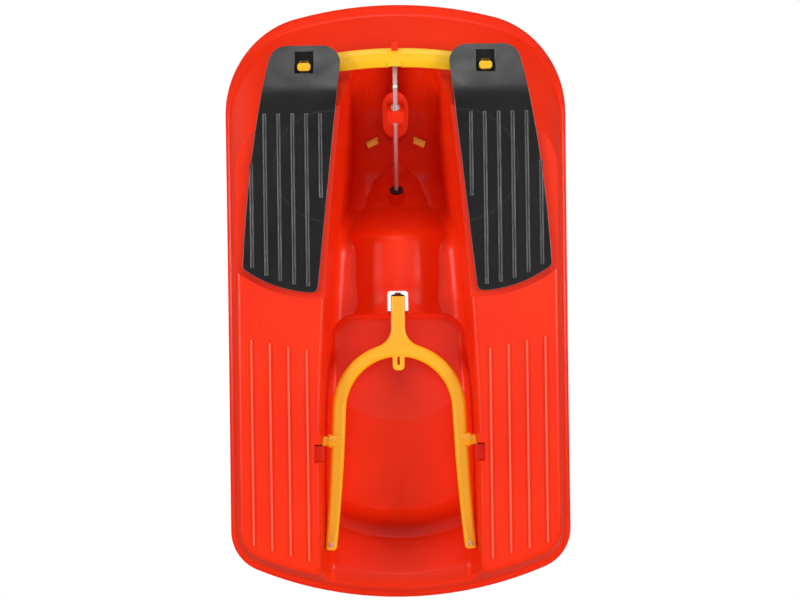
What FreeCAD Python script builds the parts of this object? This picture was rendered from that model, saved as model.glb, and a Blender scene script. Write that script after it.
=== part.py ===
import FreeCAD, Part
import math
import os

# Steering sled. X across, Y towards the tail, Z up; the floor under the runners is Z = 0.

# Hull outline at the runner floor and at the rim
FLOOR_Z = 2.5
RUNNER_HALF = 247.0
RUNNER_FRONT_Y = -298.0
RUNNER_REAR_Y = 435.0
RUNNER_FRONT_RADIUS = 700.0
RUNNER_FRONT_CORNER = 80.0
RUNNER_REAR_RADIUS = 570.0
RUNNER_REAR_CORNER = 46.0
RIM_Z = 150.0
RIM_HALF = 264.0
RIM_FRONT_Y = -448.3
RIM_REAR_Y = 467.0
RIM_FRONT_RADIUS = 717.0
RIM_FRONT_CORNER = 135.0
RIM_REAR_RADIUS = 593.0
RIM_REAR_CORNER = 60.0
WALL = 4.0
RUNNER_EDGE_FILLET = 9.0
RUNNER_TAIL_CORNER = 12.0
SHEER_FRONT_Z = 160.0
SHEER_MID_Z = 128.0
SHEER_REAR_Z = 147.0
RIM_FLANGE = 8.0
RIM_FLARE = 7.5
RIM_FLARE_DEPTH = 26.0

# Channel between the runners: half widths at the floor, and the draft of its walls
CHANNEL_FRONT_HALF = 72.0
CHANNEL_MID_HALF = 113.0
CHANNEL_REAR_HALF = 123.0
CHANNEL_FRONT_Y = -400.0
CHANNEL_REAR_Y = 250.0
CHANNEL_DRAFT = 0.14

# Cowl over the steering gear, open below
COWL_TOE_Y = -384.0
COWL_TOE_Z = 70.0
COWL_KNEE_Y = -305.0
COWL_KNEE_Z = 165.0
COWL_CROWN_Y = -200.0
COWL_CROWN_Z = 214.0
COWL_SHOULDER_Y = -140.0
COWL_SHOULDER_Z = 192.0
COWL_FOOT_Y = -88.0
COWL_BEND = 30.0
COWL_EDGE = 26.0
NECK_Z = 92.0
NECK_LENGTH = 42.0
CHANNEL_DEPTH = 60.0

# Dash that slopes down behind the cowl into a rounded hump, and the slot for the brake stem
DASH_TOP_Y = -214.0
DASH_TOP_Z = 205.0
DASH_BROW_Y = -150.0
DASH_BROW_Z = 172.0
DASH_FOOT_Y = -100.0
DASH_BEND = 16.0
DASH_OVERRUN = 10.0
DASH_STEPS = 6
HUMP_Z = 60.0
HUMP_TOP_RADIUS = 30.0
HUMP_FOOT_RADIUS = 82.0
HUMP_LENGTH = 56.0
SLOT_HALF = 16.0
SLOT_FRONT_Y = -14.0
SLOT_REAR_Y = 26.0
SLOT_TOP_Z = 98.0
SLOT_LIP = 4.0
SLOT_CORNER = 5.0

# Seat and tail
SEAT_FRONT_Y = 21.0
SEAT_FRONT_Z = 105.0
SEAT_DIP_Y = 190.0
SEAT_DIP_Z = 97.0
SEAT_BACK_Y = 330.0
SEAT_BACK_Z = 110.0
BACKREST_Y = 360.0
BACKREST_Z = 142.0
BACKREST_DEPTH = 16.0
TAIL_Y = 432.0
TAIL_Z = 88.0
SEAT_CORNER = 38.0
SEAT_BEND = 12.0
SEAT_EDGE = 12.0
BACKREST_RADIUS = 250.0

# Runner ribs
RIB_COUNT = 4
RIB_FIRST_X = 140.5
RIB_PITCH = 28.2
RIB_FRONT_Y = 73.0
RIB_REAR_Y = 399.0
RIB_FRONT_STEP = 5.5
RIB_REAR_STEP = 8.0
RIB_BASE = 6.0
RIB_CREST = 2.6

# Steering skis
SKI_PIVOT_X = 122.0
SKI_PIVOT_Y = -206.0
SKI_BASE_Z = 2.0
SKI_PLATE = 6.0
SKI_GAP = 0.3
SKI_TAIL_RADIUS = 193.0
SKI_TAIL_CLEARANCE = 9.0
SKI_INNER_FRONT_X = 81.0
SKI_INNER_REAR_X = 123.0
SKI_OUTER_FRONT_X = 189.0
SKI_OUTER_MID_X = 223.0
SKI_OUTER_REAR_X = 237.0
SKI_NOSE_Y = -395.0
SKI_NOSE_CORNER = 28.0
SKI_TAIL_CORNER = 10.0
SKI_BEND_Y = -302.0
SKI_BEND_RADIUS = 80.0
SKI_NOSE_ANGLE = 22.0
SKI_RIB_COUNT = 6
SKI_RIB_FIRST_X = 115.5
SKI_RIB_PITCH = 21.3
SKI_RIB_FRONT_Y = -288.0
SKI_RIB_INNER_REAR_Y = -158.0
SKI_RIB_OUTER_FRONT_Y = -212.0
SKI_RIB_END_MARGIN = 9.0
SKI_RIB_BASE = 6.0
SKI_RIB_CREST = 2.6
POCKET_WIDTH = 30.0
POCKET_LENGTH = 36.0
POCKET_REAR_Y = -350.0
POCKET_WALL = 2.5
POCKET_TOP_Z = 33.5
POCKET_SLOT_WIDTH = 13.0
POCKET_SLOT_AHEAD = 7.0
POCKET_SLOT_BEHIND = 3.0
STUD_RADIUS = 9.0
STUD_CLEARANCE = 0.08
STUD_BOSS_RADIUS = 20.0
STUD_BOSS_RISE = 4.0
SKI_WASHER_RADIUS = 16.0
SKI_WASHER_THICK = 2.0
SKI_SCREW_RADIUS = 3.0
SKI_SCREW_HEAD_RADIUS = 6.5
SKI_SCREW_HEAD = 5.0
SKI_SCREW_LENGTH = 8.0

# Steering rod, its bearings and the tie bar
ROD_RADIUS = 3.5
ROD_CLEARANCE = 0.06
ROD_BEND_RADIUS = 8.0
COLUMN_ANGLE = 42.0
STRAP_Y = -290.0
STRAP_Z = 66.0
STRAP_LENGTH = 22.0
STRAP_HALF = 13.0
STRAP_UNDER = 9.0
ROD_KNEE_Y = -330.0
ROD_TIP_Y = -381.0
ROD_DROP_Z = 70.0
ROD_TIP_Z = 48.8
TOWER_HALF = 20.0
TOWER_LENGTH = 66.0
TOWER_GAP = 8.5
COLLAR_RADIUS = 7.0
COLLAR_LENGTH = 4.0
END_PLAY = 0.3
GROMMET_BOSS_RADIUS = 13.0
GROMMET_BOSS_HALF = 15.0
GROMMET_SLEEVE_RADIUS = 7.0
GROMMET_FLANGE_RADIUS = 10.5
GROMMET_FLANGE = 3.0
BAR_Y = -376.0
BAR_WIDTH = 29.0
BAR_BULGE = 5.0
BAR_HEIGHT = 13.0
BAR_FLOOR = 1.6
BAR_Z = 38.0
BAR_ARCH_RADIUS = 650.0
BAR_END_MARGIN = 12.0
PEG_X = 140.0
PEG_WIDTH = 20.0
PEG_LENGTH = 12.0
PEG_CORNER = 4.0
PEG_FOOT_Z = 22.0
PEG_FOOT = 9.0
PEG_NECK_RADIUS = 4.0
BAR_SLOT_WIDTH = 19.0
BAR_SLOT_FRONT = 10.0
KEEPER_WIDTH = 10.0
KEEPER_LEG = 7.0
KEEPER_REACH = 4.0
KEEPER_FOOT = 5.0
KEEPER_GAP = 1.0
BAR_GAP = 0.4

# Steering wheel
COLUMN_WASHER_RADIUS = 10.0
COLUMN_WASHER = 2.0
HUB_RADIUS = 25.0
HUB_LENGTH = 46.0
WHEEL_RADIUS = 92.0
WHEEL_TUBE = 12.0
WHEEL_RIM_SETBACK = 10.0
SPOKE_WIDTH = 30.0
SPOKE_THICK = 11.0
SPOKE_ANGLES = (90.0, -20.0, 200.0)
HUB_RECESS_RADIUS = 15.0
HUB_RECESS = 12.0
NUT_FLATS = 13.0
NUT_HEIGHT = 6.5
CAP_THICK = 4.0
CAP_PLUG = 4.0
CAP_PLUG_CLEARANCE = 0.1

# Brake
BRAKE_PIVOT_Y = 217.0
BRAKE_PIVOT_Z = 44.0
FORK_ARCH_RADIUS = 93.0
FORK_ARCH_Y = 170.0
FORK_SPLAY = 3.0
FORK_END_Y = 386.0
FORK_WIDTH = 21.5
FORK_THICK = 14.0
FORK_FILLET = 6.2
STEM_HALF = 11.0
STEM_DEPTH = 12.0
STEM_TOP_Z = 112.0
STEM_EDGE = 3.0
STEM_FLARE = 30.0
STEM_THICK = 12.0
STEM_ROUND = 5.0
EYE_HALF = 9.0
EYE_LENGTH = 21.0
EYE_SLIT = 4.0
EYE_SLIT_LENGTH = 13.0
EYE_THICK = 9.0
TANG_HALF = 7.0
TANG_DEPTH = 7.0
TANG_TOP_Z = 172.0
STUB_COLLAR_RADIUS = 10.5
STUB_COLLAR = 3.0
STUB_RADIUS = 7.8
STUB_CLEARANCE = 0.08
PIN_RADIUS = 3.0
PIN_STAND_OUT = 2.0
BEARING_MOUTH_Y = 31.0
BEARING_MOUTH_OFFSET = 3.0
CLAW_RADIUS = 3.5
CLAW_TIP = 8.0
CLAW_TOP = 3.0
CLAW_FOOT_Z = 13.0
CLAW_INSET = 10.0
GRIP_DEPTH = 18.0
GRIP_TOP_Z = 186.0
GRIP_EDGE = 4.0
GRIP_FIT = 0.1
GRIP_SCREW_RADIUS = 2.5
GRIP_SCREW_HEAD_RADIUS = 5.0
GRIP_SCREW_HEAD = 3.0

# Nose cover
COVER_SEAT_GAP = 0.2
COVER_THICK = 3.0
COVER_LEAN = 35.0
COVER_APEX_Y = -350.0
COVER_REAR_Y = -246.0
COVER_HALF = 53.0
COVER_SHOULDER_X = 38.0
COVER_SHOULDER_Y = -304.0
TAB_WIDTH = 20.0
TAB_THICK = 5.0
TAB_REACH = 7.0
TAB_SLOT_CLEARANCE = 0.5
TAB_SIDE_X = 38.0
TAB_SIDE_Y = -257.0
TAB_SIDE_TURN = 25.0
TAB_FRONT_Y = -338.0
TAB_FRONT_WIDTH = 10.0

# Least angle of a moulded edge that is rounded
SHARP_FOLD = 25.0

# Room left round the whole object for cutting bodies
REACH = 700.0


def vec(x, y, z):
    return FreeCAD.Vector(x, y, z)


def polygon_face(points):
    return Part.Face(Part.makePolygon(points + [points[0]]))


def profile_yz(points):
    """Face in the middle plane through (y, z) points."""
    return polygon_face([vec(0, y, z) for y, z in points])


def across(face, half):
    """Body swept from a middle-plane face to both sides."""
    moved = face.copy()
    moved.translate(vec(-half, 0, 0))
    return moved.extrude(vec(2 * half, 0, 0))


def box(x0, x1, y0, y1, z0, z1):
    return Part.makeBox(x1 - x0, y1 - y0, z1 - z0, vec(x0, y0, z0))


def arc(start, middle, end):
    return Part.Arc(start, middle, end).toShape()


def line(start, end):
    return Part.LineSegment(start, end).toShape()


def mirrored(shape):
    return shape.mirror(vec(0, 0, 0), vec(1, 0, 0))


def frustum(x0, x1, y0, y1, z_base, z_crest, slope):
    """Bar with sloped sides and ends, narrower by the slope at the crest."""
    wires = []
    for z, inset in ((z_base, 0.0), (z_crest, slope)):
        corners = [
            vec(x0 + inset, y0 + inset, z),
            vec(x1 - inset, y0 + inset, z),
            vec(x1 - inset, y1 - inset, z),
            vec(x0 + inset, y1 - inset, z),
        ]
        wires.append(Part.makePolygon(corners + [corners[0]]))
    return Part.makeLoft(wires, True, True)


def slope_gain(run):
    """Horizontal offset that gives a unit wall on a side that leans by this run."""
    return math.hypot(run, RIM_Z - FLOOR_Z) / (RIM_Z - FLOOR_Z)


def hull_outline(z, inset):
    """Outline of the hull at a height, moved in by a wall offset."""
    share = (z - FLOOR_Z) / (RIM_Z - FLOOR_Z)

    def at(low, high):
        return low + (high - low) * share

    half = at(RUNNER_HALF, RIM_HALF) - inset * slope_gain(RIM_HALF - RUNNER_HALF)
    front = at(RUNNER_FRONT_Y, RIM_FRONT_Y) + inset * slope_gain(RIM_FRONT_Y - RUNNER_FRONT_Y)
    rear = at(RUNNER_REAR_Y, RIM_REAR_Y) - inset * slope_gain(RIM_REAR_Y - RUNNER_REAR_Y)
    front_radius = at(RUNNER_FRONT_RADIUS, RIM_FRONT_RADIUS) - inset
    rear_radius = at(RUNNER_REAR_RADIUS, RIM_REAR_RADIUS) - inset
    front_corner = at(RUNNER_FRONT_CORNER, RIM_FRONT_CORNER) - inset
    rear_corner = at(RUNNER_REAR_CORNER, RIM_REAR_CORNER) - inset

    def corner(end_y, way, radius, corner_radius):
        """Tangent points and middle of the corner between an end arc and the side."""
        arc_y = end_y + way * radius
        x = half - corner_radius
        y = arc_y - way * math.sqrt((radius - corner_radius) ** 2 - x ** 2)
        lean = math.atan2(way * (arc_y - y), x)
        on_arc = (radius * math.cos(lean), arc_y - way * radius * math.sin(lean))
        middle = (x + corner_radius * math.cos(lean / 2), y - way * corner_radius * math.sin(lean / 2))
        return on_arc, middle, (half, y)

    f_arc, f_mid, f_side = corner(front, 1, front_radius, front_corner)
    r_arc, r_mid, r_side = corner(rear, -1, rear_radius, rear_corner)

    def right(point):
        return vec(point[0], point[1], z)

    def left(point):
        return vec(-point[0], point[1], z)

    return Part.Wire([
        arc(left(f_arc), vec(0, front, z), right(f_arc)),
        arc(right(f_arc), right(f_mid), right(f_side)),
        line(right(f_side), right(r_side)),
        arc(right(r_side), right(r_mid), right(r_arc)),
        arc(right(r_arc), vec(0, rear, z), left(r_arc)),
        arc(left(r_arc), left(r_mid), left(r_side)),
        line(left(r_side), left(f_side)),
        arc(left(f_side), left(f_mid), left(f_arc)),
    ])


def edges_at(shape, z):
    return [e for e in shape.Edges if all(abs(v.Z - z) < 0.01 for v in e.Vertexes)]


def hull_block(inset):
    """Filled tub from the runner floor up past the cowl."""
    low = FLOOR_Z + inset
    high = COWL_CROWN_Z + CHANNEL_DEPTH
    return Part.makeLoft([hull_outline(low, inset), hull_outline(high, inset)], True, True)


def channel(grow):
    """Tapered space between the runners, its walls drawn in towards the top."""
    high = COWL_CROWN_Z + CHANNEL_DEPTH
    wires = []
    for z in (-CHANNEL_DEPTH, high):
        inset = CHANNEL_DRAFT * z - grow
        front = CHANNEL_FRONT_HALF - inset
        middle = CHANNEL_MID_HALF - inset
        rear = CHANNEL_REAR_HALF - inset
        end = REACH
        wires.append(Part.Wire([
            arc(vec(front, CHANNEL_FRONT_Y, z), vec(middle, 0, z), vec(rear, CHANNEL_REAR_Y, z)),
            line(vec(rear, CHANNEL_REAR_Y, z), vec(rear, end, z)),
            line(vec(rear, end, z), vec(-rear, end, z)),
            line(vec(-rear, end, z), vec(-rear, CHANNEL_REAR_Y, z)),
            arc(vec(-rear, CHANNEL_REAR_Y, z), vec(-middle, 0, z), vec(-front, CHANNEL_FRONT_Y, z)),
            line(vec(-front, CHANNEL_FRONT_Y, z), vec(front, CHANNEL_FRONT_Y, z)),
        ]))
    return Part.makeLoft(wires, True, True)


def grown(points, amount):
    """Clockwise outline moved outwards by an amount, its corners kept sharp."""
    moved = []
    for index, (u, v) in enumerate(points):
        before = points[index - 1]
        after = points[(index + 1) % len(points)]
        normals = []
        for (u0, v0), (u1, v1) in ((before, (u, v)), ((u, v), after)):
            size = math.hypot(u1 - u0, v1 - v0)
            normals.append(((v0 - v1) / size, (u1 - u0) / size))
        (a0, b0), (a1, b1) = normals
        reach = amount / (1 + a0 * a1 + b0 * b1)
        moved.append((u + reach * (a0 + a1), v + reach * (b0 + b1)))
    return moved


def is_crosswise(edge, above):
    """True for an edge straight across the sled and higher than a level."""
    size = edge.BoundBox
    return size.YLength < 0.01 and size.ZLength < 0.01 and size.ZMin > above


def edge_middle(edge):
    return edge.valueAt((edge.FirstParameter + edge.LastParameter) / 2)


def fold(shape, edge):
    """Angle in degrees between the two faces that meet at an edge."""
    point = edge_middle(edge)
    normals = []
    for face in shape.ancestorsOfType(edge, Part.Face):
        normals.append(face.normalAt(*face.Surface.parameter(point)))
    return math.degrees(normals[0].getAngle(normals[-1]))


def ceiling_edges(shape, rear):
    """Sharp edges where the ceiling of a space meets its walls, ahead of a rear limit."""
    edges = []
    for edge in shape.Edges:
        size = edge.BoundBox
        if size.YLength > 0.01 and size.ZMax > 0 and size.YMax < rear and fold(shape, edge) > SHARP_FOLD:
            edges.append(edge)
    return edges


def tunnel(grow):
    """Space under the cowl with a rounded ceiling, and its low neck towards the seat."""
    toe_slope = (COWL_KNEE_Z - COWL_TOE_Z) / (COWL_KNEE_Y - COWL_TOE_Y)
    low_y = COWL_TOE_Y - COWL_TOE_Z / toe_slope
    end = SEAT_FRONT_Y + NECK_LENGTH
    roof = profile_yz(grown([
        (low_y, 0), (COWL_KNEE_Y, COWL_KNEE_Z), (COWL_CROWN_Y, COWL_CROWN_Z),
        (COWL_SHOULDER_Y, COWL_SHOULDER_Z), (COWL_FOOT_Y, NECK_Z), (end, NECK_Z),
        (end, -CHANNEL_DEPTH), (low_y, -CHANNEL_DEPTH),
    ], grow))
    body = across(roof, REACH)
    bends = [e for e in body.Edges if is_crosswise(e, HUMP_Z) and e.BoundBox.YMax < SEAT_FRONT_Y]
    body = body.makeFillet(COWL_BEND, bends).common(channel(grow))
    return body.makeFillet(COWL_EDGE + grow, ceiling_edges(body, end + 2 * WALL))


def bent_path(points, bend_radius):
    """Straight runs joined by arcs, as a list of edges."""
    edges = []
    start = points[0]
    for before, corner, after in zip(points, points[1:], points[2:]):
        way_in = (before - corner).normalize()
        way_out = (after - corner).normalize()
        half = way_in.getAngle(way_out) / 2
        run = bend_radius / math.tan(half)
        centre = corner + (way_in + way_out).normalize() * (bend_radius / math.sin(half))
        first = corner + way_in * run
        last = corner + way_out * run
        middle = centre + (corner - centre).normalize() * bend_radius
        edges += [line(start, first), arc(first, middle, last)]
        start = last
    return edges + [line(start, points[-1])]


def tongue(grow):
    """Rounded body of the dash and hump that hangs into the tunnel, thinner by the growth."""
    high = COWL_CROWN_Z + CHANNEL_DEPTH
    fall = (DASH_TOP_Z - DASH_BROW_Z) / (DASH_BROW_Y - DASH_TOP_Y)
    start = DASH_TOP_Y - DASH_OVERRUN
    end = SEAT_FRONT_Y + HUMP_LENGTH
    line_up = grown([
        (start, high), (end, high), (end, HUMP_Z), (DASH_FOOT_Y, HUMP_Z),
        (DASH_BROW_Y, DASH_BROW_Z), (start, DASH_TOP_Z + fall * DASH_OVERRUN),
    ], -grow)
    edges = bent_path([vec(0, y, z) for y, z in reversed(line_up[2:])], DASH_BEND)
    places = [p for e in edges for p in e.discretize(DASH_STEPS)[:-1]]
    places.append(vec(0, *line_up[2]))
    wires = []
    for place in places:
        share = min(1.0, (place.y - start) / (DASH_FOOT_Y - start))
        swell = math.sin(share * math.pi / 2)
        radius = HUMP_TOP_RADIUS + (HUMP_FOOT_RADIUS - HUMP_TOP_RADIUS) * swell - grow
        side = vec(radius, place.y, place.z + radius)
        other = vec(-radius, place.y, place.z + radius)
        wires.append(Part.Wire([
            arc(other, place, side), line(side, vec(radius, place.y, high)),
            line(vec(radius, place.y, high), vec(-radius, place.y, high)),
            line(vec(-radius, place.y, high), other),
        ]))
    return Part.makeLoft(wires, True, False)


def seat_space(grow):
    """Space under the seat and the curved backrest, open to the tail."""
    low = -CHANNEL_DEPTH
    end = REACH - CHANNEL_DEPTH
    axis_y = BACKREST_Y - BACKREST_RADIUS
    back = profile_yz(grown([
        (SEAT_DIP_Y, low), (SEAT_DIP_Y, SEAT_DIP_Z), (SEAT_BACK_Y, SEAT_BACK_Z), (BACKREST_Y, BACKREST_Z),
        (BACKREST_Y + BACKREST_DEPTH, BACKREST_Z), (TAIL_Y, TAIL_Z), (end, TAIL_Z), (end, low),
    ], grow)).revolve(vec(0, axis_y, 0), vec(0, 0, 1), 360)
    level = [e for e in back.Edges if e.BoundBox.ZLength < 0.01 < e.BoundBox.ZMin]
    rings = [e for e in level if SEAT_DIP_Y + WALL < e.BoundBox.YMax < end - WALL]
    back = back.makeFillet(SEAT_BEND, rings).common(box(-REACH, REACH, axis_y, REACH, -REACH, REACH))
    rest = SEAT_BACK_Y - SEAT_BEND
    front = profile_yz(grown([
        (SEAT_FRONT_Y, low), (SEAT_FRONT_Y, SEAT_FRONT_Z), (SEAT_DIP_Y, SEAT_DIP_Z), (rest, SEAT_DIP_Z),
        (rest, low),
    ], grow))
    body = across(front, REACH).fuse(back).common(channel(grow)).removeSplitter()
    face = [e for e in body.Edges if all(abs(v.Y - (SEAT_FRONT_Y - grow)) < 0.01 for v in e.Vertexes)]
    posts = [e for e in face if e.BoundBox.ZLength > SEAT_FRONT_Z]
    body = body.makeFillet(SEAT_CORNER + grow, posts)
    edges = [
        e for e in body.Edges
        if e.BoundBox.ZMin > HUMP_Z and e.BoundBox.YMin < TAIL_Y and fold(body, e) > SHARP_FOLD]
    return body.makeFillet(SEAT_EDGE, edges)


def on_column(shape, along):
    """Place a body built up from Z = 0 on the steering column, this far from the strap."""
    lean = math.radians(COLUMN_ANGLE)
    placed = shape.copy()
    placed.rotate(vec(0, 0, 0), vec(1, 0, 0), COLUMN_ANGLE - 90)
    placed.translate(vec(0, STRAP_Y + along * math.cos(lean), STRAP_Z + along * math.sin(lean)))
    return placed


def tower(inset):
    """Oval well that reaches down from the cowl's top to the steering rod."""
    half = TOWER_HALF - inset
    run = TOWER_LENGTH / 2 - TOWER_HALF
    front = STRAP_Y - run
    rear = STRAP_Y + run
    oval = Part.Face(Part.Wire([
        arc(vec(half, front, 0), vec(0, front - half, 0), vec(-half, front, 0)),
        line(vec(-half, front, 0), vec(-half, rear, 0)),
        arc(vec(-half, rear, 0), vec(0, rear + half, 0), vec(half, rear, 0)),
        line(vec(half, rear, 0), vec(half, front, 0)),
    ]))
    over_rod = on_column(box(-REACH, REACH, -2 * REACH, -TOWER_GAP - inset, -REACH, REACH), 0.0)
    return oval.extrude(vec(0, 0, REACH)).common(over_rod)


def under_space(grow):
    """All of the open space between the runners, grown by the wall for the upper side."""
    return tunnel(grow).cut(tongue(grow)).cut(tower(grow)).fuse(seat_space(grow))


def ski_recess(grow):
    """Step in each runner floor that takes the ski, round about the ski's pivot."""
    radius = SKI_TAIL_RADIUS + SKI_TAIL_CLEARANCE + grow
    top = SKI_BASE_Z + SKI_PLATE + SKI_GAP + grow
    disc = Part.makeCylinder(radius, top + FLOOR_Z, vec(SKI_PIVOT_X, SKI_PIVOT_Y, -FLOOR_Z))
    disc = disc.common(box(0, REACH, -REACH, REACH, -REACH, REACH))
    return disc.fuse(mirrored(disc))


def tub(inset):
    """Filled tub less the space between its runners, the runners' corners and lower edges rounded."""
    low = FLOOR_Z + inset
    half = CHANNEL_REAR_HALF + 2 * WALL
    body = hull_block(inset).cut(under_space(inset))
    posts = []
    for edge in body.Edges:
        size = edge.BoundBox
        upright = abs(size.ZMin - low) < 0.01 < size.ZLength
        if upright and size.YMin > SEAT_BACK_Y and -half < size.XMin < half:
            posts.append(edge)
    body = body.makeFillet(RUNNER_TAIL_CORNER - inset, posts)
    body = body.makeFillet(RUNNER_EDGE_FILLET - inset, edges_at(body, low))
    return body.cut(ski_recess(inset))


def sheer_band(depth):
    """Body between the sheer line of the rim and the same line lower by a depth."""
    def at(y, z):
        return vec(0, y, z)

    top = [at(-REACH, 0), at(0, SHEER_MID_Z), at(REACH, 0)]
    share = (REACH / RIM_REAR_Y) ** 2
    top[0].z = SHEER_MID_Z + (SHEER_FRONT_Z - SHEER_MID_Z) * share
    top[2].z = SHEER_MID_Z + (SHEER_REAR_Z - SHEER_MID_Z) * share
    low = [p - vec(0, 0, depth) for p in top]
    wire = Part.Wire([
        arc(*top), line(top[2], low[2]), arc(low[2], low[1], low[0]), line(low[0], top[0]),
    ])
    return across(Part.Face(wire), REACH)


def hull_shell():
    shell = tub(0.0).cut(tub(WALL))
    inner_half = CHANNEL_REAR_HALF
    high = COWL_CROWN_Z + CHANNEL_DEPTH
    keep = sheer_band(REACH)
    keep = keep.fuse(box(-inner_half, inner_half, COWL_TOE_Y, SEAT_FRONT_Y, FLOOR_Z, high))
    keep = keep.fuse(box(-inner_half, inner_half, SEAT_DIP_Y, TAIL_Y, FLOOR_Z, high))
    return shell.common(keep)


def rim():
    """Flange round the sheer line that flares out of the wall."""
    body = hull_block(0.0).common(sheer_band(REACH))
    body = body.fuse(hull_block(-RIM_FLANGE).common(sheer_band(WALL))).removeSplitter()
    midway = hull_block(-RIM_FLANGE / 2)
    sharp = [e for e in body.Edges if e.BoundBox.ZMin > HUMP_Z and fold(body, e) > SHARP_FOLD]
    hollow = [e for e in sharp if midway.isInside(edge_middle(e), 0.01, True)]
    body = body.makeFillet(RIM_FLARE, hollow)
    right = body.cut(hull_block(WALL)).common(sheer_band(RIM_FLARE_DEPTH))
    right = right.common(box(0, REACH, -REACH, REACH, 0, REACH))
    return right.fuse(mirrored(right))


def runner_ribs():
    ribs = []
    for index in range(RIB_COUNT):
        x = RIB_FIRST_X + index * RIB_PITCH
        rib = frustum(
            x - RIB_BASE / 2, x + RIB_BASE / 2,
            RIB_FRONT_Y - index * RIB_FRONT_STEP, RIB_REAR_Y - index * RIB_REAR_STEP,
            FLOOR_Z + WALL / 4, 0.0, (RIB_BASE - RIB_CREST) / 2,
        )
        ribs += [rib, mirrored(rib)]
    return ribs


def apron_z(y):
    """Height of the front apron's underside on the middle line."""
    return FLOOR_Z + (RIM_Z - FLOOR_Z) * (RUNNER_FRONT_Y - y) / (RUNNER_FRONT_Y - RIM_FRONT_Y)


def roof_z(y):
    """Height of the cowl's ceiling on the middle line, ahead of the dash."""
    if y < COWL_KNEE_Y:
        return COWL_KNEE_Z + (y - COWL_KNEE_Y) * (COWL_KNEE_Z - COWL_TOE_Z) / (COWL_KNEE_Y - COWL_TOE_Y)
    rise = (COWL_CROWN_Z - COWL_KNEE_Z) / (COWL_CROWN_Y - COWL_KNEE_Y)
    return COWL_KNEE_Z + (y - COWL_KNEE_Y) * rise


def recess_top():
    return SKI_BASE_Z + SKI_PLATE + SKI_GAP


def column_cylinder(radius, start, end):
    return on_column(Part.makeCylinder(radius, end - start), start)


def column_ring(outer, inner, start, end):
    return column_cylinder(outer, start, end).cut(column_cylinder(inner, start, end))


def dash_along():
    """Distance from the strap to where the column leaves through the dash."""
    rise = math.tan(math.radians(COLUMN_ANGLE))
    fall = (DASH_TOP_Z - DASH_BROW_Z) / (DASH_BROW_Y - DASH_TOP_Y)
    y = (DASH_TOP_Z + fall * DASH_TOP_Y - STRAP_Z + rise * STRAP_Y) / (rise + fall)
    return (y - STRAP_Y) / math.cos(math.radians(COLUMN_ANGLE))


def strap():
    """Moulded bridge under the tower that carries the front of the rod."""
    block = box(
        -STRAP_HALF, STRAP_HALF, -TOWER_GAP - WALL / 2, STRAP_UNDER, -STRAP_LENGTH / 2, STRAP_LENGTH / 2)
    return on_column(block, 0.0)


def bar_under(offset):
    """Height of the tie bar's rounded underside at an offset from its middle line."""
    radius = ((BAR_WIDTH / 2) ** 2 + BAR_BULGE ** 2) / (2 * BAR_BULGE)
    return BAR_Z + radius - math.sqrt(radius ** 2 - offset ** 2)


def keeper():
    """Hook on the apron that holds the tie bar's front edge from below."""
    edge = BAR_Y - BAR_WIDTH / 2
    rear = edge - KEEPER_GAP
    front = rear - KEEPER_LEG
    top = bar_under(BAR_WIDTH / 2 - KEEPER_REACH) - BAR_GAP
    half = KEEPER_WIDTH / 2
    leg = box(-half, half, front, rear, top - KEEPER_FOOT, apron_z(rear) + WALL / 2)
    foot = box(-half, half, front, edge + KEEPER_REACH, top - KEEPER_FOOT, top)
    return leg.fuse(foot)


def tab_boxes(clearance):
    """Upright blocks of the cover's three tabs, or of their slots with a clearance."""
    blocks = []
    places = (
        (-TAB_SIDE_X, TAB_SIDE_Y, -TAB_SIDE_TURN, TAB_WIDTH),
        (TAB_SIDE_X, TAB_SIDE_Y, TAB_SIDE_TURN, TAB_WIDTH),
        (0.0, TAB_FRONT_Y, 0.0, TAB_FRONT_WIDTH),
    )
    for x, y, turn, width in places:
        half = width / 2 + clearance
        depth = TAB_THICK / 2 + clearance
        low = roof_z(y) - TAB_REACH
        block = box(-half, half, -depth, depth, low - clearance, COWL_CROWN_Z + CHANNEL_DEPTH)
        block.rotate(vec(0, 0, 0), vec(0, 0, 1), turn)
        block.translate(vec(x, y, 0))
        blocks.append(block)
    return blocks


def slot_block(grow, rear, low, high):
    """Upright block over the brake slot, round at its two front corners."""
    half = SLOT_HALF + grow
    front = SLOT_FRONT_Y - grow
    block = box(-half, half, front, rear, low, high)
    corners = [e for e in block.Edges if e.BoundBox.ZLength > 1 and e.BoundBox.YMax < front + 1]
    return block.makeFillet(SLOT_CORNER + grow, corners)


def slot_cut():
    return slot_block(0.0, SLOT_REAR_Y, FLOOR_Z, SLOT_TOP_Z)


def slot_lip():
    """Raised edge round the brake slot, on the hump's underside."""
    return slot_block(SLOT_LIP, SEAT_FRONT_Y, HUMP_Z - SLOT_LIP, HUMP_Z + WALL)


def brake_bearing_cut():
    """Round seats for the fork's stubs, each open to a notch in the runner's inner edge."""
    seat = Part.makeCylinder(
        STUB_RADIUS + STUB_CLEARANCE, 2 * REACH, vec(-REACH, BRAKE_PIVOT_Y, BRAKE_PIVOT_Z), vec(1, 0, 0))
    half = CHANNEL_REAR_HALF + 2 * WALL
    seat = seat.common(box(-half, half, -REACH, REACH, 0, REACH))
    notch = box(
        -half, half, BRAKE_PIVOT_Y + BEARING_MOUTH_OFFSET, BRAKE_PIVOT_Y + BEARING_MOUTH_Y,
        -FLOOR_Z, BRAKE_PIVOT_Z - BEARING_MOUTH_OFFSET)
    return seat.fuse(notch)


def brake_housing():
    """Closed block in the leg well's corner round the stub's seat and notch."""
    half = CHANNEL_REAR_HALF + 3 * WALL
    block = box(
        CHANNEL_MID_HALF - 2 * WALL, half,
        BRAKE_PIVOT_Y - STUB_RADIUS - WALL, BRAKE_PIVOT_Y + BEARING_MOUTH_Y + WALL,
        FLOOR_Z, BRAKE_PIVOT_Z + STUB_RADIUS + WALL)
    return block.cut(channel(0.0))


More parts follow.
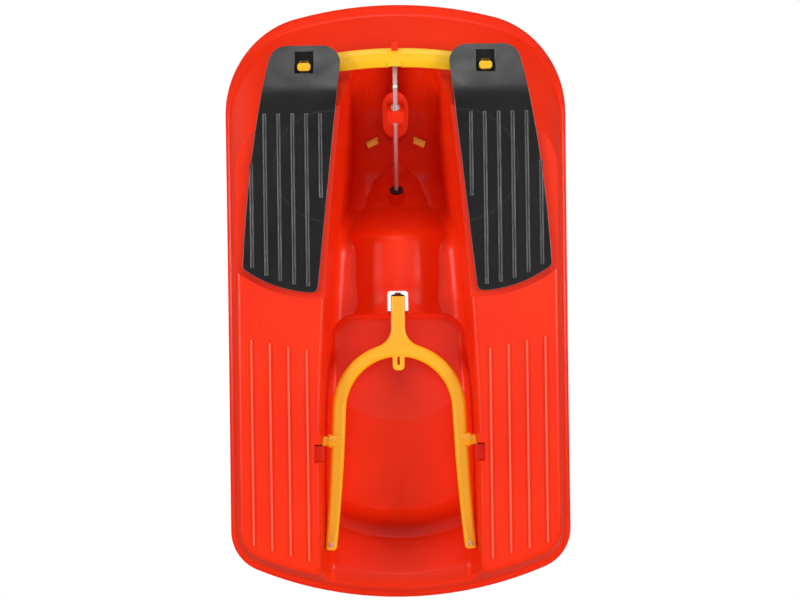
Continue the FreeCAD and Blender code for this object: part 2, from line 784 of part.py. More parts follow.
def hull():
    body = hull_shell().fuse(rim())
    boss = Part.makeCylinder(
        STUD_BOSS_RADIUS, WALL + STUD_BOSS_RISE, vec(SKI_PIVOT_X, SKI_PIVOT_Y, recess_top()))
    column_boss = column_cylinder(
        GROMMET_BOSS_RADIUS, dash_along() - GROMMET_BOSS_HALF, dash_along() + GROMMET_BOSS_HALF)
    added = runner_ribs() + [
        boss, mirrored(boss), column_boss, strap(), keeper(), slot_lip(),
        brake_housing(), mirrored(brake_housing()),
    ]
    body = body.fuse(added)
    stud_hole = Part.makeCylinder(
        STUD_RADIUS + STUD_CLEARANCE, COWL_CROWN_Z, vec(SKI_PIVOT_X, SKI_PIVOT_Y, 0))
    rod_hole = column_cylinder(ROD_RADIUS + ROD_CLEARANCE, -STRAP_LENGTH, STRAP_LENGTH)
    grommet_hole = column_cylinder(
        GROMMET_SLEEVE_RADIUS, dash_along() - 2 * GROMMET_BOSS_HALF, dash_along() + 2 * GROMMET_BOSS_HALF)
    body = body.cut([stud_hole, mirrored(stud_hole), rod_hole, grommet_hole, slot_cut(), brake_bearing_cut()])
    return body.cut(tab_boxes(TAB_SLOT_CLEARANCE))


def ski_column():
    """Upright prism of the right ski's outline."""
    def tail_point(x):
        return vec(x, SKI_PIVOT_Y + math.sqrt(SKI_TAIL_RADIUS ** 2 - (x - SKI_PIVOT_X) ** 2), -REACH)

    outer_front = vec(SKI_OUTER_FRONT_X, SKI_NOSE_Y, -REACH)
    inner_front = vec(SKI_INNER_FRONT_X, SKI_NOSE_Y, -REACH)
    outer_tail = tail_point(SKI_OUTER_REAR_X)
    inner_tail = tail_point(SKI_INNER_REAR_X)
    wire = Part.Wire([
        line(inner_front, outer_front),
        arc(outer_front, vec(SKI_OUTER_MID_X, SKI_PIVOT_Y, -REACH), outer_tail),
        arc(outer_tail, tail_point((SKI_OUTER_REAR_X + SKI_INNER_REAR_X) / 2), inner_tail),
        line(inner_tail, inner_front),
    ])
    column = Part.Face(wire).extrude(vec(0, 0, 2 * REACH))
    nose = [e for e in column.Edges if e.BoundBox.ZLength > REACH and e.BoundBox.YMax < SKI_BEND_Y]
    column = column.makeFillet(SKI_NOSE_CORNER, nose)
    tail = [e for e in column.Edges if e.BoundBox.ZLength > REACH and e.BoundBox.YMin > SKI_PIVOT_Y]
    return column.makeFillet(SKI_TAIL_CORNER, tail)


def ski_sheet():
    """Plate of the ski as wide as the sled: flat, then bent up towards the nose."""
    lean = math.radians(SKI_NOSE_ANGLE)
    bend_z = SKI_BASE_Z + SKI_BEND_RADIUS
    end = SKI_NOSE_Y - SKI_PLATE

    def nose(radius):
        """Bend middle and end for a face this far from the bend's centre, and the tip's place."""
        middle = vec(0, SKI_BEND_Y - radius * math.sin(lean / 2), bend_z - radius * math.cos(lean / 2))
        bent = vec(0, SKI_BEND_Y - radius * math.sin(lean), bend_z - radius * math.cos(lean))
        tip = vec(0, end, bent.z + (bent.y - end) * math.tan(lean))
        return middle, bent, tip

    low_middle, low_bent, low_tip = nose(SKI_BEND_RADIUS)
    top_middle, top_bent, top_tip = nose(SKI_BEND_RADIUS - SKI_PLATE)
    top_z = SKI_BASE_Z + SKI_PLATE
    low = [vec(0, SKI_BEND_Y, SKI_BASE_Z), vec(0, 0, SKI_BASE_Z)]
    top = [vec(0, SKI_BEND_Y, top_z), vec(0, 0, top_z)]
    wire = Part.Wire([
        line(low[1], low[0]), arc(low[0], low_middle, low_bent), line(low_bent, low_tip),
        line(low_tip, top_tip), line(top_tip, top_bent), arc(top_bent, top_middle, top[0]),
        line(top[0], top[1]), line(top[1], low[1]),
    ])
    return across(Part.Face(wire), REACH)


def ski_ribs():
    """Wear ribs on the sole, each cut to the outline less a margin."""
    tail = SKI_TAIL_RADIUS - SKI_RIB_END_MARGIN
    slope = (SKI_RIB_BASE - SKI_RIB_CREST) / 2
    ribs = []
    for index in range(SKI_RIB_COUNT):
        x = SKI_RIB_FIRST_X + index * SKI_RIB_PITCH
        rear = SKI_PIVOT_Y + math.sqrt(tail ** 2 - (x - SKI_PIVOT_X) ** 2)
        front = SKI_RIB_FRONT_Y
        if index == 0:
            rear = SKI_RIB_INNER_REAR_Y
        if index == SKI_RIB_COUNT - 1:
            front = SKI_RIB_OUTER_FRONT_Y
        ribs.append(frustum(
            x - SKI_RIB_BASE / 2, x + SKI_RIB_BASE / 2, front, rear, SKI_BASE_Z + SKI_PLATE / 6, 0.0, slope))
    return ribs


def nose_z(y):
    """Height of the ski's underside on its straight nose."""
    lean = math.radians(SKI_NOSE_ANGLE)
    bent_y = SKI_BEND_Y - SKI_BEND_RADIUS * math.sin(lean)
    return SKI_BASE_Z + SKI_BEND_RADIUS * (1 - math.cos(lean)) + (bent_y - y) * math.tan(lean)


def peg_y():
    """Where the tie bar's pegs stand along the sled."""
    return BAR_Y + BAR_ARCH_RADIUS - math.sqrt(BAR_ARCH_RADIUS ** 2 - PEG_X ** 2)


def ski_pocket(front, rear):
    """Raised walls and roof of the nose pocket, still filled."""
    half = POCKET_WIDTH / 2 + POCKET_WALL
    top = POCKET_TOP_Z + POCKET_WALL
    root = SKI_PLATE / 2
    side = profile_yz([(front, nose_z(front) + root), (front, top), (rear, top), (rear, nose_z(rear) + root)])
    block = across(side, half)
    block.translate(vec(PEG_X, 0, 0))
    return block


def ski():
    """Right ski: sole with ribs, nose with its pocket, and the pivot stud on top."""
    body = ski_sheet().common(ski_column())
    stud_top = recess_top() + WALL + STUD_BOSS_RISE + SKI_GAP
    root = SKI_BASE_Z + SKI_PLATE / 2
    stud = Part.makeCylinder(STUD_RADIUS, stud_top - root, vec(SKI_PIVOT_X, SKI_PIVOT_Y, root))
    front = POCKET_REAR_Y - POCKET_LENGTH
    body = body.fuse([stud, ski_pocket(front - POCKET_WALL, POCKET_REAR_Y + POCKET_WALL)] + ski_ribs())
    pocket = box(
        PEG_X - POCKET_WIDTH / 2, PEG_X + POCKET_WIDTH / 2, front, POCKET_REAR_Y, 0, POCKET_TOP_Z)
    slot = box(
        PEG_X - POCKET_SLOT_WIDTH / 2, PEG_X + POCKET_SLOT_WIDTH / 2,
        peg_y() - PEG_NECK_RADIUS - POCKET_SLOT_AHEAD, peg_y() + PEG_NECK_RADIUS + POCKET_SLOT_BEHIND,
        0, REACH)
    pilot = Part.makeCylinder(
        SKI_SCREW_RADIUS, SKI_SCREW_LENGTH, vec(SKI_PIVOT_X, SKI_PIVOT_Y, stud_top - SKI_SCREW_LENGTH))
    return body.cut([pocket, slot, pilot])


def ski_washer():
    low = recess_top() + WALL + STUD_BOSS_RISE + SKI_GAP
    at = vec(SKI_PIVOT_X, SKI_PIVOT_Y, low)
    ring = Part.makeCylinder(SKI_WASHER_RADIUS, SKI_WASHER_THICK, at)
    return ring.cut(Part.makeCylinder(SKI_SCREW_RADIUS, SKI_WASHER_THICK, at))


def ski_screw():
    low = recess_top() + WALL + STUD_BOSS_RISE + SKI_GAP
    shank = Part.makeCylinder(
        SKI_SCREW_RADIUS, SKI_SCREW_LENGTH + SKI_WASHER_THICK,
        vec(SKI_PIVOT_X, SKI_PIVOT_Y, low - SKI_SCREW_LENGTH))
    head = Part.makeCylinder(
        SKI_SCREW_HEAD_RADIUS, SKI_SCREW_HEAD, vec(SKI_PIVOT_X, SKI_PIVOT_Y, low + SKI_WASHER_THICK))
    return shank.fuse(head)


def tie_bar():
    """Arched bar, rounded below, with a footed peg at each end and a groove on top for the rod."""
    half = BAR_WIDTH / 2
    edge_z = BAR_Z + BAR_BULGE
    top = BAR_Z + BAR_HEIGHT

    def at(offset, z):
        return vec(0, BAR_Y + offset, z)

    section = Part.Face(Part.Wire([
        arc(at(-half, edge_z), at(0, BAR_Z), at(half, edge_z)), line(at(half, edge_z), at(half, top)),
        line(at(half, top), at(-half, top)), line(at(-half, top), at(-half, edge_z)),
    ]))
    ring = section.revolve(vec(0, BAR_Y + BAR_ARCH_RADIUS, 0), vec(0, 0, 1), 360)
    end = PEG_X + BAR_END_MARGIN
    body = ring.common(box(-end, end, BAR_Y - BAR_WIDTH, BAR_Y + 2 * BAR_WIDTH, 0, REACH))
    foot = box(
        PEG_X - PEG_WIDTH / 2, PEG_X + PEG_WIDTH / 2, peg_y() - PEG_LENGTH / 2, peg_y() + PEG_LENGTH / 2,
        PEG_FOOT_Z, PEG_FOOT_Z + PEG_FOOT)
    foot = foot.makeFillet(PEG_CORNER, [e for e in foot.Edges if e.BoundBox.ZLength > 1])
    neck = Part.makeCylinder(PEG_NECK_RADIUS, edge_z - PEG_FOOT_Z, vec(PEG_X, peg_y(), PEG_FOOT_Z))
    peg = foot.fuse(neck)
    body = body.fuse([peg, mirrored(peg)])
    groove = box(
        -BAR_SLOT_WIDTH / 2, BAR_SLOT_WIDTH / 2, BAR_Y - BAR_SLOT_FRONT, BAR_Y + BAR_WIDTH,
        BAR_Z + BAR_FLOOR, REACH)
    return body.cut(groove)


def bent_rod(points, bend_radius, radius):
    """Round bar along straight runs in the middle plane, joined by arcs."""
    path = Part.Wire(bent_path(points, bend_radius))
    section = Part.Wire(Part.makeCircle(radius, points[0], points[1] - points[0]))
    return path.makePipeShell([section], True, False)


def hub_start():
    """Distance from the strap to the wheel hub's front face."""
    bush_end = dash_along() + GROMMET_BOSS_HALF + GROMMET_FLANGE
    return bush_end + END_PLAY + COLUMN_WASHER


def rod_end():
    return hub_start() + HUB_LENGTH - HUB_RECESS + NUT_HEIGHT


def steering_rod():
    rise = math.tan(math.radians(COLUMN_ANGLE))
    lean = math.radians(COLUMN_ANGLE)
    return bent_rod([
        vec(0, ROD_TIP_Y, ROD_TIP_Z),
        vec(0, ROD_TIP_Y, ROD_DROP_Z),
        vec(0, ROD_KNEE_Y, STRAP_Z + (ROD_KNEE_Y - STRAP_Y) * rise),
        vec(0, STRAP_Y + rod_end() * math.cos(lean), STRAP_Z + rod_end() * math.sin(lean)),
    ], ROD_BEND_RADIUS, ROD_RADIUS)


def rod_collar(rear):
    face = STRAP_LENGTH / 2 + END_PLAY
    start = face if rear else -face - COLLAR_LENGTH
    return column_ring(COLLAR_RADIUS, ROD_RADIUS, start, start + COLLAR_LENGTH)


def column_grommet():
    """Flanged bush in the dash boss."""
    start = dash_along() - GROMMET_BOSS_HALF
    end = dash_along() + GROMMET_BOSS_HALF
    body = column_cylinder(GROMMET_SLEEVE_RADIUS, start, end)
    body = body.fuse([
        column_cylinder(GROMMET_FLANGE_RADIUS, start - GROMMET_FLANGE, start),
        column_cylinder(GROMMET_FLANGE_RADIUS, end, end + GROMMET_FLANGE),
    ])
    reach = 2 * GROMMET_BOSS_HALF
    return body.cut(column_cylinder(ROD_RADIUS + ROD_CLEARANCE, start - reach, end + reach))


def column_washer():
    start = hub_start() - COLUMN_WASHER
    return column_ring(COLUMN_WASHER_RADIUS, ROD_RADIUS, start, start + COLUMN_WASHER)


def steering_wheel():
    """Hub, three spokes and a round rim in one moulding."""
    hub = Part.makeCylinder(HUB_RADIUS, HUB_LENGTH)
    rim_z = HUB_LENGTH - WHEEL_RIM_SETBACK
    ring = Part.makeTorus(WHEEL_RADIUS, WHEEL_TUBE, vec(0, 0, rim_z))
    spokes = []
    for angle in SPOKE_ANGLES:
        spoke = box(
            0, WHEEL_RADIUS, -SPOKE_WIDTH / 2, SPOKE_WIDTH / 2,
            rim_z - SPOKE_THICK / 2, rim_z + SPOKE_THICK / 2)
        spoke.rotate(vec(0, 0, 0), vec(0, 0, 1), angle)
        spokes.append(spoke)
    body = hub.fuse([ring] + spokes)
    recess = Part.makeCylinder(HUB_RECESS_RADIUS, HUB_RECESS, vec(0, 0, HUB_LENGTH - HUB_RECESS))
    body = body.cut([recess, Part.makeCylinder(ROD_RADIUS, HUB_LENGTH)])
    return on_column(body, hub_start())


def wheel_nut():
    corner = NUT_FLATS / math.sqrt(3)
    points = [
        vec(corner * math.cos(k * math.pi / 3), corner * math.sin(k * math.pi / 3), 0) for k in range(6)
    ]
    body = polygon_face(points).extrude(vec(0, 0, NUT_HEIGHT)).cut(Part.makeCylinder(ROD_RADIUS, NUT_HEIGHT))
    return on_column(body, hub_start() + HUB_LENGTH - HUB_RECESS)


def wheel_cap():
    """Lid on the hub with a plug in the nut's recess."""
    plug_radius = HUB_RECESS_RADIUS - CAP_PLUG_CLEARANCE
    lid = Part.makeCylinder(HUB_RADIUS, CAP_THICK)
    lid = lid.makeFillet(CAP_THICK / 2, edges_at(lid, CAP_THICK))
    plug = Part.makeCylinder(plug_radius, CAP_PLUG, vec(0, 0, -CAP_PLUG))
    return on_column(lid.fuse(plug), hub_start() + HUB_LENGTH)


def leg_line():
    """Where a fork leg leaves the arch, and its way to the rear."""
    splay = math.radians(FORK_SPLAY)
    start = vec(FORK_ARCH_RADIUS * math.cos(splay), FORK_ARCH_Y - FORK_ARCH_RADIUS * math.sin(splay), 0)
    return start, vec(math.sin(splay), math.cos(splay), 0)


def leg_x(y):
    start, way = leg_line()
    return start.x + (y - start.y) * way.x / way.y


def fork_blank():
    """Arch and legs as one flat bar."""
    start, way = leg_line()
    side = vec(way.y, -way.x, 0) * (FORK_WIDTH / 2)
    end = start + way * ((FORK_END_Y - start.y) / way.y)
    low = vec(0, 0, BRAKE_PIVOT_Z - FORK_THICK / 2)

    def left(point):
        return vec(-point.x, point.y, point.z)

    outer = [start + side + low, end + side + low]
    inner = [start - side + low, end - side + low]
    outer_top = vec(0, FORK_ARCH_Y - FORK_ARCH_RADIUS - FORK_WIDTH / 2, low.z)
    inner_top = vec(0, FORK_ARCH_Y - FORK_ARCH_RADIUS + FORK_WIDTH / 2, low.z)
    wire = Part.Wire([
        arc(left(outer[0]), outer_top, outer[0]),
        line(outer[0], outer[1]), line(outer[1], inner[1]), line(inner[1], inner[0]),
        arc(inner[0], inner_top, left(inner[0])),
        line(left(inner[0]), left(inner[1])),
        line(left(inner[1]), left(outer[1])),
        line(left(outer[1]), left(outer[0])),
    ])
    blank = Part.Face(wire).extrude(vec(0, 0, FORK_THICK))
    return blank.makeFillet(FORK_FILLET, blank.Edges)


def stem():
    """Tongue that flares out of the arch, the upright that passes the slot, and the grip's tang."""
    outer = FORK_ARCH_RADIUS + FORK_WIDTH / 2
    flare_x = STEM_HALF + STEM_FLARE
    rise = math.sqrt((outer + STEM_FLARE) ** 2 - flare_x ** 2)
    flare_y = FORK_ARCH_Y - rise
    turn = math.atan2(rise, flare_x)
    half_depth = STEM_DEPTH / 2
    low = BRAKE_PIVOT_Z - STEM_THICK / 2

    def on_flare(angle):
        return vec(flare_x - STEM_FLARE * math.cos(angle), flare_y + STEM_FLARE * math.sin(angle), low)

    def left(point):
        return vec(-point.x, point.y, point.z)

    tip = vec(STEM_HALF, -half_depth, low)
    foot = on_flare(turn)
    root = vec(foot.x, FORK_ARCH_Y - FORK_ARCH_RADIUS, low)
    wire = Part.Wire([
        line(left(tip), tip), line(tip, on_flare(0)), arc(on_flare(0), on_flare(turn / 2), foot),
        line(foot, root), line(root, left(root)), line(left(root), left(foot)),
        arc(left(foot), left(on_flare(turn / 2)), left(on_flare(0))), line(left(on_flare(0)), left(tip)),
    ])
    blade = Part.Face(wire).extrude(vec(0, 0, STEM_THICK))
    sides = [e for e in blade.Edges if e.BoundBox.ZLength < 0.01 and e.BoundBox.YMax < foot.y + 1]
    blade = blade.makeFillet(STEM_ROUND, [e for e in sides if e.BoundBox.YLength > 1])
    upright = box(-STEM_HALF, STEM_HALF, -half_depth, half_depth, BRAKE_PIVOT_Z, STEM_TOP_Z)
    upright = upright.makeFillet(STEM_EDGE, [e for e in upright.Edges if e.BoundBox.ZLength > 1])
    tang = box(-TANG_HALF, TANG_HALF, -TANG_DEPTH / 2, TANG_DEPTH / 2, BRAKE_PIVOT_Z, TANG_TOP_Z)
    return blade.fuse([upright, tang])


def fork_eye():
    """Narrow loop on the inner side of the arch."""
    low = BRAKE_PIVOT_Z - EYE_THICK / 2
    root = FORK_ARCH_Y - FORK_ARCH_RADIUS
    inner = root + FORK_WIDTH / 2
    end = inner + EYE_LENGTH
    loop = box(-EYE_HALF, EYE_HALF, root, end, low, low + EYE_THICK)
    corners = [e for e in loop.Edges if e.BoundBox.ZLength > 1 and e.BoundBox.YMin > end - 1]
    loop = loop.makeFillet(EYE_HALF - EYE_SLIT / 2, corners)
    half = EYE_SLIT / 2
    slit = box(-half, half, inner, inner + EYE_SLIT_LENGTH - half, low, low + EYE_THICK)
    slit_end = Part.makeCylinder(half, EYE_THICK, vec(0, inner + EYE_SLIT_LENGTH - half, low))
    return loop.cut([slit, slit_end])


def wall_x(y, z):
    """Inner face of the channel wall beside the fork's pivot."""
    front = vec(CHANNEL_FRONT_HALF, CHANNEL_FRONT_Y, 0)
    rear = vec(CHANNEL_REAR_HALF, CHANNEL_REAR_Y, 0)
    curve = arc(front, vec(CHANNEL_MID_HALF, 0, 0), rear).Curve
    return curve.Center.x + math.sqrt(curve.Radius ** 2 - (y - curve.Center.y) ** 2) - CHANNEL_DRAFT * z


def stub_end():
    return wall_x(BRAKE_PIVOT_Y, BRAKE_PIVOT_Z) + WALL


def pin_hole():
    x = leg_x(BRAKE_PIVOT_Y)
    return Part.makeCylinder(PIN_RADIUS, stub_end() - x, vec(x, BRAKE_PIVOT_Y, BRAKE_PIVOT_Z), vec(1, 0, 0))


def claw_place():
    y = FORK_END_Y - CLAW_INSET
    return vec(leg_x(y), y, 0)


def brake_fork():
    x = leg_x(BRAKE_PIVOT_Y)
    pivot = vec(x, BRAKE_PIVOT_Y, BRAKE_PIVOT_Z)
    stub = Part.makeCylinder(STUB_RADIUS, stub_end() - x, pivot, vec(1, 0, 0))
    collar = Part.makeCylinder(STUB_COLLAR_RADIUS, FORK_WIDTH / 2 + STUB_COLLAR, pivot, vec(1, 0, 0))
    stub = stub.fuse(collar)
    body = fork_blank().fuse([stem(), fork_eye(), stub, mirrored(stub)])
    claw_hole = Part.makeCylinder(CLAW_RADIUS, REACH, claw_place())
    screw_hole = Part.makeCylinder(
        GRIP_SCREW_RADIUS, TANG_DEPTH, vec(0, -TANG_DEPTH / 2, grip_screw_z()), vec(0, 1, 0))
    return body.cut([claw_hole, mirrored(claw_hole), pin_hole(), mirrored(pin_hole()), screw_hole])


def brake_pin():
    x = leg_x(BRAKE_PIVOT_Y)
    length = stub_end() + PIN_STAND_OUT - x
    return Part.makeCylinder(PIN_RADIUS, length, vec(x, BRAKE_PIVOT_Y, BRAKE_PIVOT_Z), vec(1, 0, 0))


def brake_claw():
    place = claw_place()
    shank_low = CLAW_FOOT_Z + CLAW_TIP
    top = BRAKE_PIVOT_Z + FORK_THICK / 2 + CLAW_TOP
    shank = Part.makeCylinder(CLAW_RADIUS, top - shank_low, place + vec(0, 0, shank_low))
    tip = Part.makeCone(CLAW_RADIUS / 3, CLAW_RADIUS, CLAW_TIP, place + vec(0, 0, CLAW_FOOT_Z))
    return shank.fuse(tip)


def grip_screw_z():
    return (STEM_TOP_Z + TANG_TOP_Z) / 2


def brake_grip():
    """Rounded sleeve over the stem's tang."""
    body = box(-STEM_HALF, STEM_HALF, -GRIP_DEPTH / 2, GRIP_DEPTH / 2, STEM_TOP_Z + GRIP_FIT, GRIP_TOP_Z)
    body = body.makeFillet(GRIP_EDGE, [e for e in body.Edges if e.BoundBox.ZMax > STEM_TOP_Z + 1])
    room = TANG_HALF + GRIP_FIT
    deep = TANG_DEPTH / 2 + GRIP_FIT
    body = body.cut(box(-room, room, -deep, deep, 0, TANG_TOP_Z + GRIP_FIT))
    hole = Part.makeCylinder(
        GRIP_SCREW_RADIUS, GRIP_DEPTH / 2, vec(0, -GRIP_DEPTH / 2, grip_screw_z()), vec(0, 1, 0))
    return body.cut(hole)


def brake_grip_screw():
    front = -GRIP_DEPTH / 2
    shank = Part.makeCylinder(
        GRIP_SCREW_RADIUS, TANG_DEPTH / 2 - front, vec(0, front, grip_screw_z()), vec(0, 1, 0))
    head = Part.makeCylinder(
        GRIP_SCREW_HEAD_RADIUS, GRIP_SCREW_HEAD, vec(0, front, grip_screw_z()), vec(0, -1, 0))
    return shank.fuse(head)


def nose_cover():
    """Pointed cover on the cowl with three tabs through its ceiling."""
    def at(x, y):
        return vec(x, y, 0)

    plan = Part.Wire([
        arc(at(0, COVER_APEX_Y), at(COVER_SHOULDER_X, COVER_SHOULDER_Y), at(COVER_HALF, COVER_REAR_Y)),
        line(at(COVER_HALF, COVER_REAR_Y), at(-COVER_HALF, COVER_REAR_Y)),
        arc(at(-COVER_HALF, COVER_REAR_Y), at(-COVER_SHOULDER_X, COVER_SHOULDER_Y), at(0, COVER_APEX_Y)),
    ])
    column = Part.Face(plan).extrude(vec(0, 0, REACH))
    lean = math.radians(COVER_LEAN)
    cowl = tunnel(WALL)

    def lifted(amount):
        """Cowl's outer form moved out square to its slope."""
        form = cowl.copy()
        form.translate(vec(0, -amount * math.sin(lean), amount * math.cos(lean)))
        return form

    sheet = column.common(lifted(COVER_SEAT_GAP + COVER_THICK)).cut(lifted(COVER_SEAT_GAP))
    tabs = [tab.common(lifted(COVER_SEAT_GAP + COVER_THICK / 2)) for tab in tab_boxes(0.0)]
    return sheet.fuse(tabs)


def sled():
    pieces = {
        "hull": hull(),
        "nose_cover": nose_cover(),
        "column_grommet": column_grommet(),
        "tie_bar": tie_bar(),
        "steering_rod": steering_rod(),
        "rod_collar_front": rod_collar(False),
        "rod_collar_rear": rod_collar(True),
        "column_washer": column_washer(),
        "steering_wheel": steering_wheel(),
        "wheel_nut": wheel_nut(),
        "wheel_cap": wheel_cap(),
        "brake_fork": brake_fork(),
        "brake_grip": brake_grip(),
        "brake_grip_screw": brake_grip_screw(),
    }
    for name, shape in (
        ("ski", ski()), ("ski_washer", ski_washer()), ("ski_screw", ski_screw()),
        ("brake_pin", brake_pin()), ("brake_claw", brake_claw()),
    ):
        pieces[name + "_right"] = shape
        pieces[name + "_left"] = mirrored(shape)
    return pieces


os.makedirs("parts", exist_ok=True)
for node, shape in sled().items():
    print(node, shape.isValid(), len(shape.Solids), round(shape.Volume))
    shape.exportStep("parts/" + node + ".step")
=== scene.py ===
import bpy
import bmesh
import math
from mathutils import Matrix, Vector


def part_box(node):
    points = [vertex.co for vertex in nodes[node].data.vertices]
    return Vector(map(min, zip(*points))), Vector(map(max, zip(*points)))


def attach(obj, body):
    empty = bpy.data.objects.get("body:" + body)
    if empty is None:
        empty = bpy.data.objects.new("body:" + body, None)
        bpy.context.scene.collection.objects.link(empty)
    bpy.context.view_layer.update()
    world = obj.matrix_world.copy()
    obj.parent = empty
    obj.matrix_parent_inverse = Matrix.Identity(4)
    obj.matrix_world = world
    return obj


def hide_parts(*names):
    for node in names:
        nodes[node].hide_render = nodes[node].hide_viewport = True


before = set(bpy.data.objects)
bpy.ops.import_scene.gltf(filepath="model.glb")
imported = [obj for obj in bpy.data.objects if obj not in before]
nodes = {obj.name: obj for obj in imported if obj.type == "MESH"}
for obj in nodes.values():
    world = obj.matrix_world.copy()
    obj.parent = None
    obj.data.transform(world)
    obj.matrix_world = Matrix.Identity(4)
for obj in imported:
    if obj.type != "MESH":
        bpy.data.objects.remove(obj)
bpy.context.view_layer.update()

# Hull: the sled's whole body, with runners, channel, cowl, seat and rim in one large shell.
# It is red polyethylene, injection moulded, semi-gloss with faint flow marks and a fine grain.
# The crests of the sole ribs are painted paler: a painted highlight along each rib, standing in
# for the light the crests catch.
HULL_RED = (0.83, 0.028, 0.003, 1.0)
HULL_RED_DEEP = (0.77, 0.020, 0.002, 1.0)
RIB_CREST_HIGHLIGHT = (0.95, 0.20, 0.12, 1.0)
RIB_HIGHLIGHT_TOP_Z = 0.0009
RIB_HIGHLIGHT_FULL_Z = 0.0002
RIB_HIGHLIGHT_MOST = 0.5
PATCH_LOW = 0.3
PATCH_HIGH = 0.7
FLOW_SCALE = 7
FLOW_DETAIL = 3
GLOSS_SCALE = 26
GLOSS_DETAIL = 5
GLOSS_BELOW = 0.05
GLOSS_ABOVE = 0.06
GRAIN_SCALE = 700
GRAIN_DETAIL = 2
GRAIN_DEPTH = 0.0003


def new_material(name):
    """Empty node material, with its tree and its Principled shader."""
    material = bpy.data.materials.new(name)
    material.use_nodes = True
    tree = material.node_tree
    return material, tree, tree.nodes["Principled BSDF"]


def object_noise(tree, scale, detail, stretch=(1, 1, 1), turn=(0, 0, 0)):
    """Noise on the piece's own coordinates, turned and stretched along its axes."""
    place = tree.nodes.new("ShaderNodeTexCoord")
    mapping = tree.nodes.new("ShaderNodeMapping")
    mapping.inputs["Rotation"].default_value = turn
    mapping.inputs["Scale"].default_value = stretch
    noise = tree.nodes.new("ShaderNodeTexNoise")
    noise.inputs["Scale"].default_value = scale
    noise.inputs["Detail"].default_value = detail
    tree.links.new(place.outputs["Object"], mapping.inputs["Vector"])
    tree.links.new(mapping.outputs["Vector"], noise.inputs["Vector"])
    return noise.outputs["Fac"]


def spread(tree, value, from_low, from_high, low, high):
    """A value mapped from one range to another, held at its ends."""
    ramp = tree.nodes.new("ShaderNodeMapRange")
    ramp.inputs["From Min"].default_value = from_low
    ramp.inputs["From Max"].default_value = from_high
    ramp.inputs["To Min"].default_value = low
    ramp.inputs["To Max"].default_value = high
    tree.links.new(value, ramp.inputs["Value"])
    return ramp.outputs["Result"]


def patches(tree, noise, low, high):
    """Soft patches of a noise that run from a low to a high value."""
    return spread(tree, noise, PATCH_LOW, PATCH_HIGH, low, high)


def blend_colour(tree, factor, first, second):
    """Two colours mixed by a factor; each is a fixed colour or another node's output."""
    mix = tree.nodes.new("ShaderNodeMix")
    mix.data_type = "RGBA"
    tree.links.new(factor, mix.inputs["Factor"])
    for socket, colour in (("A", first), ("B", second)):
        if isinstance(colour, tuple):
            mix.inputs[socket].default_value = colour
        else:
            tree.links.new(colour, mix.inputs[socket])
    return mix.outputs["Result"]


def relief(tree, shader, height, strength, depth):
    """Fine relief on a finish, from a height between 0 and 1."""
    bump = tree.nodes.new("ShaderNodeBump")
    bump.name = "relief"
    bump.inputs["Strength"].default_value = strength
    bump.inputs["Distance"].default_value = depth
    tree.links.new(height, bump.inputs["Height"])
    tree.links.new(bump.outputs["Normal"], shader.inputs["Normal"])


def moulded_plastic(name, light, deep, roughness, gloss, grain):
    """Moulded skin: cloudy colour, uneven gloss and a fine grain."""
    material, tree, shader = new_material(name)
    clouds = patches(tree, object_noise(tree, FLOW_SCALE, FLOW_DETAIL), 0.0, 1.0)
    tree.links.new(blend_colour(tree, clouds, deep, light), shader.inputs["Base Color"])
    uneven = patches(
        tree, object_noise(tree, GLOSS_SCALE, GLOSS_DETAIL),
        roughness - GLOSS_BELOW, roughness + GLOSS_ABOVE)
    tree.links.new(uneven, shader.inputs["Roughness"])
    shader.inputs["Specular IOR Level"].default_value = gloss
    relief(tree, shader, object_noise(tree, GRAIN_SCALE, GRAIN_DETAIL), grain, GRAIN_DEPTH)
    return material


def lay_over(tree, factor, colour):
    """Lay a colour over a finish, as strongly as the factor says."""
    skin = tree.nodes["Principled BSDF"].inputs["Base Color"]
    below = skin.links[0].from_socket
    tree.links.new(blend_colour(tree, factor, below, colour), skin)


def dress(node, material):
    """Give a CAD node its finish."""
    mesh = nodes[node].data
    mesh.materials.clear()
    mesh.materials.append(material)


hull_plastic = moulded_plastic(
    "hull_plastic", HULL_RED, HULL_RED_DEEP, roughness=0.34, gloss=0.24, grain=0.05)
tree = hull_plastic.node_tree
place = tree.nodes.new("ShaderNodeTexCoord")
height = tree.nodes.new("ShaderNodeSeparateXYZ")
tree.links.new(place.outputs["Object"], height.inputs["Vector"])
# Painted highlight: the hull's colour turns paler towards the lowest crests of the sole ribs.
crest_highlight = spread(tree, height.outputs["Z"], RIB_HIGHLIGHT_TOP_Z, RIB_HIGHLIGHT_FULL_Z, 0.0, RIB_HIGHLIGHT_MOST)
lay_over(tree, crest_highlight, RIB_CREST_HIGHLIGHT)
dress("hull", hull_plastic)

# Tool marks: the round rings that ejector pins leave on the runner soles and the apron.
# Each is a fine raised line on the hull's own skin, in the same plastic.
MARK_RADIUS = 0.0042
MARK_LINE = 0.0004
MARK_STEPS = 24
MARK_SIDES = 6
MARK_START_Z = -0.2
MARK_PLACES = (
    (0.056, -0.415), (-0.056, -0.415), (-0.152, 0.335), (0.152, 0.335),
    (-0.214, 0.030), (0.214, 0.030))


def size_tree(name, inputs):
    """Empty geometry tree with named inputs, and its way in and way out."""
    tree = bpy.data.node_groups.new(name, "GeometryNodeTree")
    tree.interface.new_socket("Geometry", in_out="INPUT", socket_type="NodeSocketGeometry")
    for label, kind in inputs:
        tree.interface.new_socket(label, in_out="INPUT", socket_type=kind)
    tree.interface.new_socket("Geometry", in_out="OUTPUT", socket_type="NodeSocketGeometry")
    return tree, tree.nodes.new("NodeGroupInput"), tree.nodes.new("NodeGroupOutput")


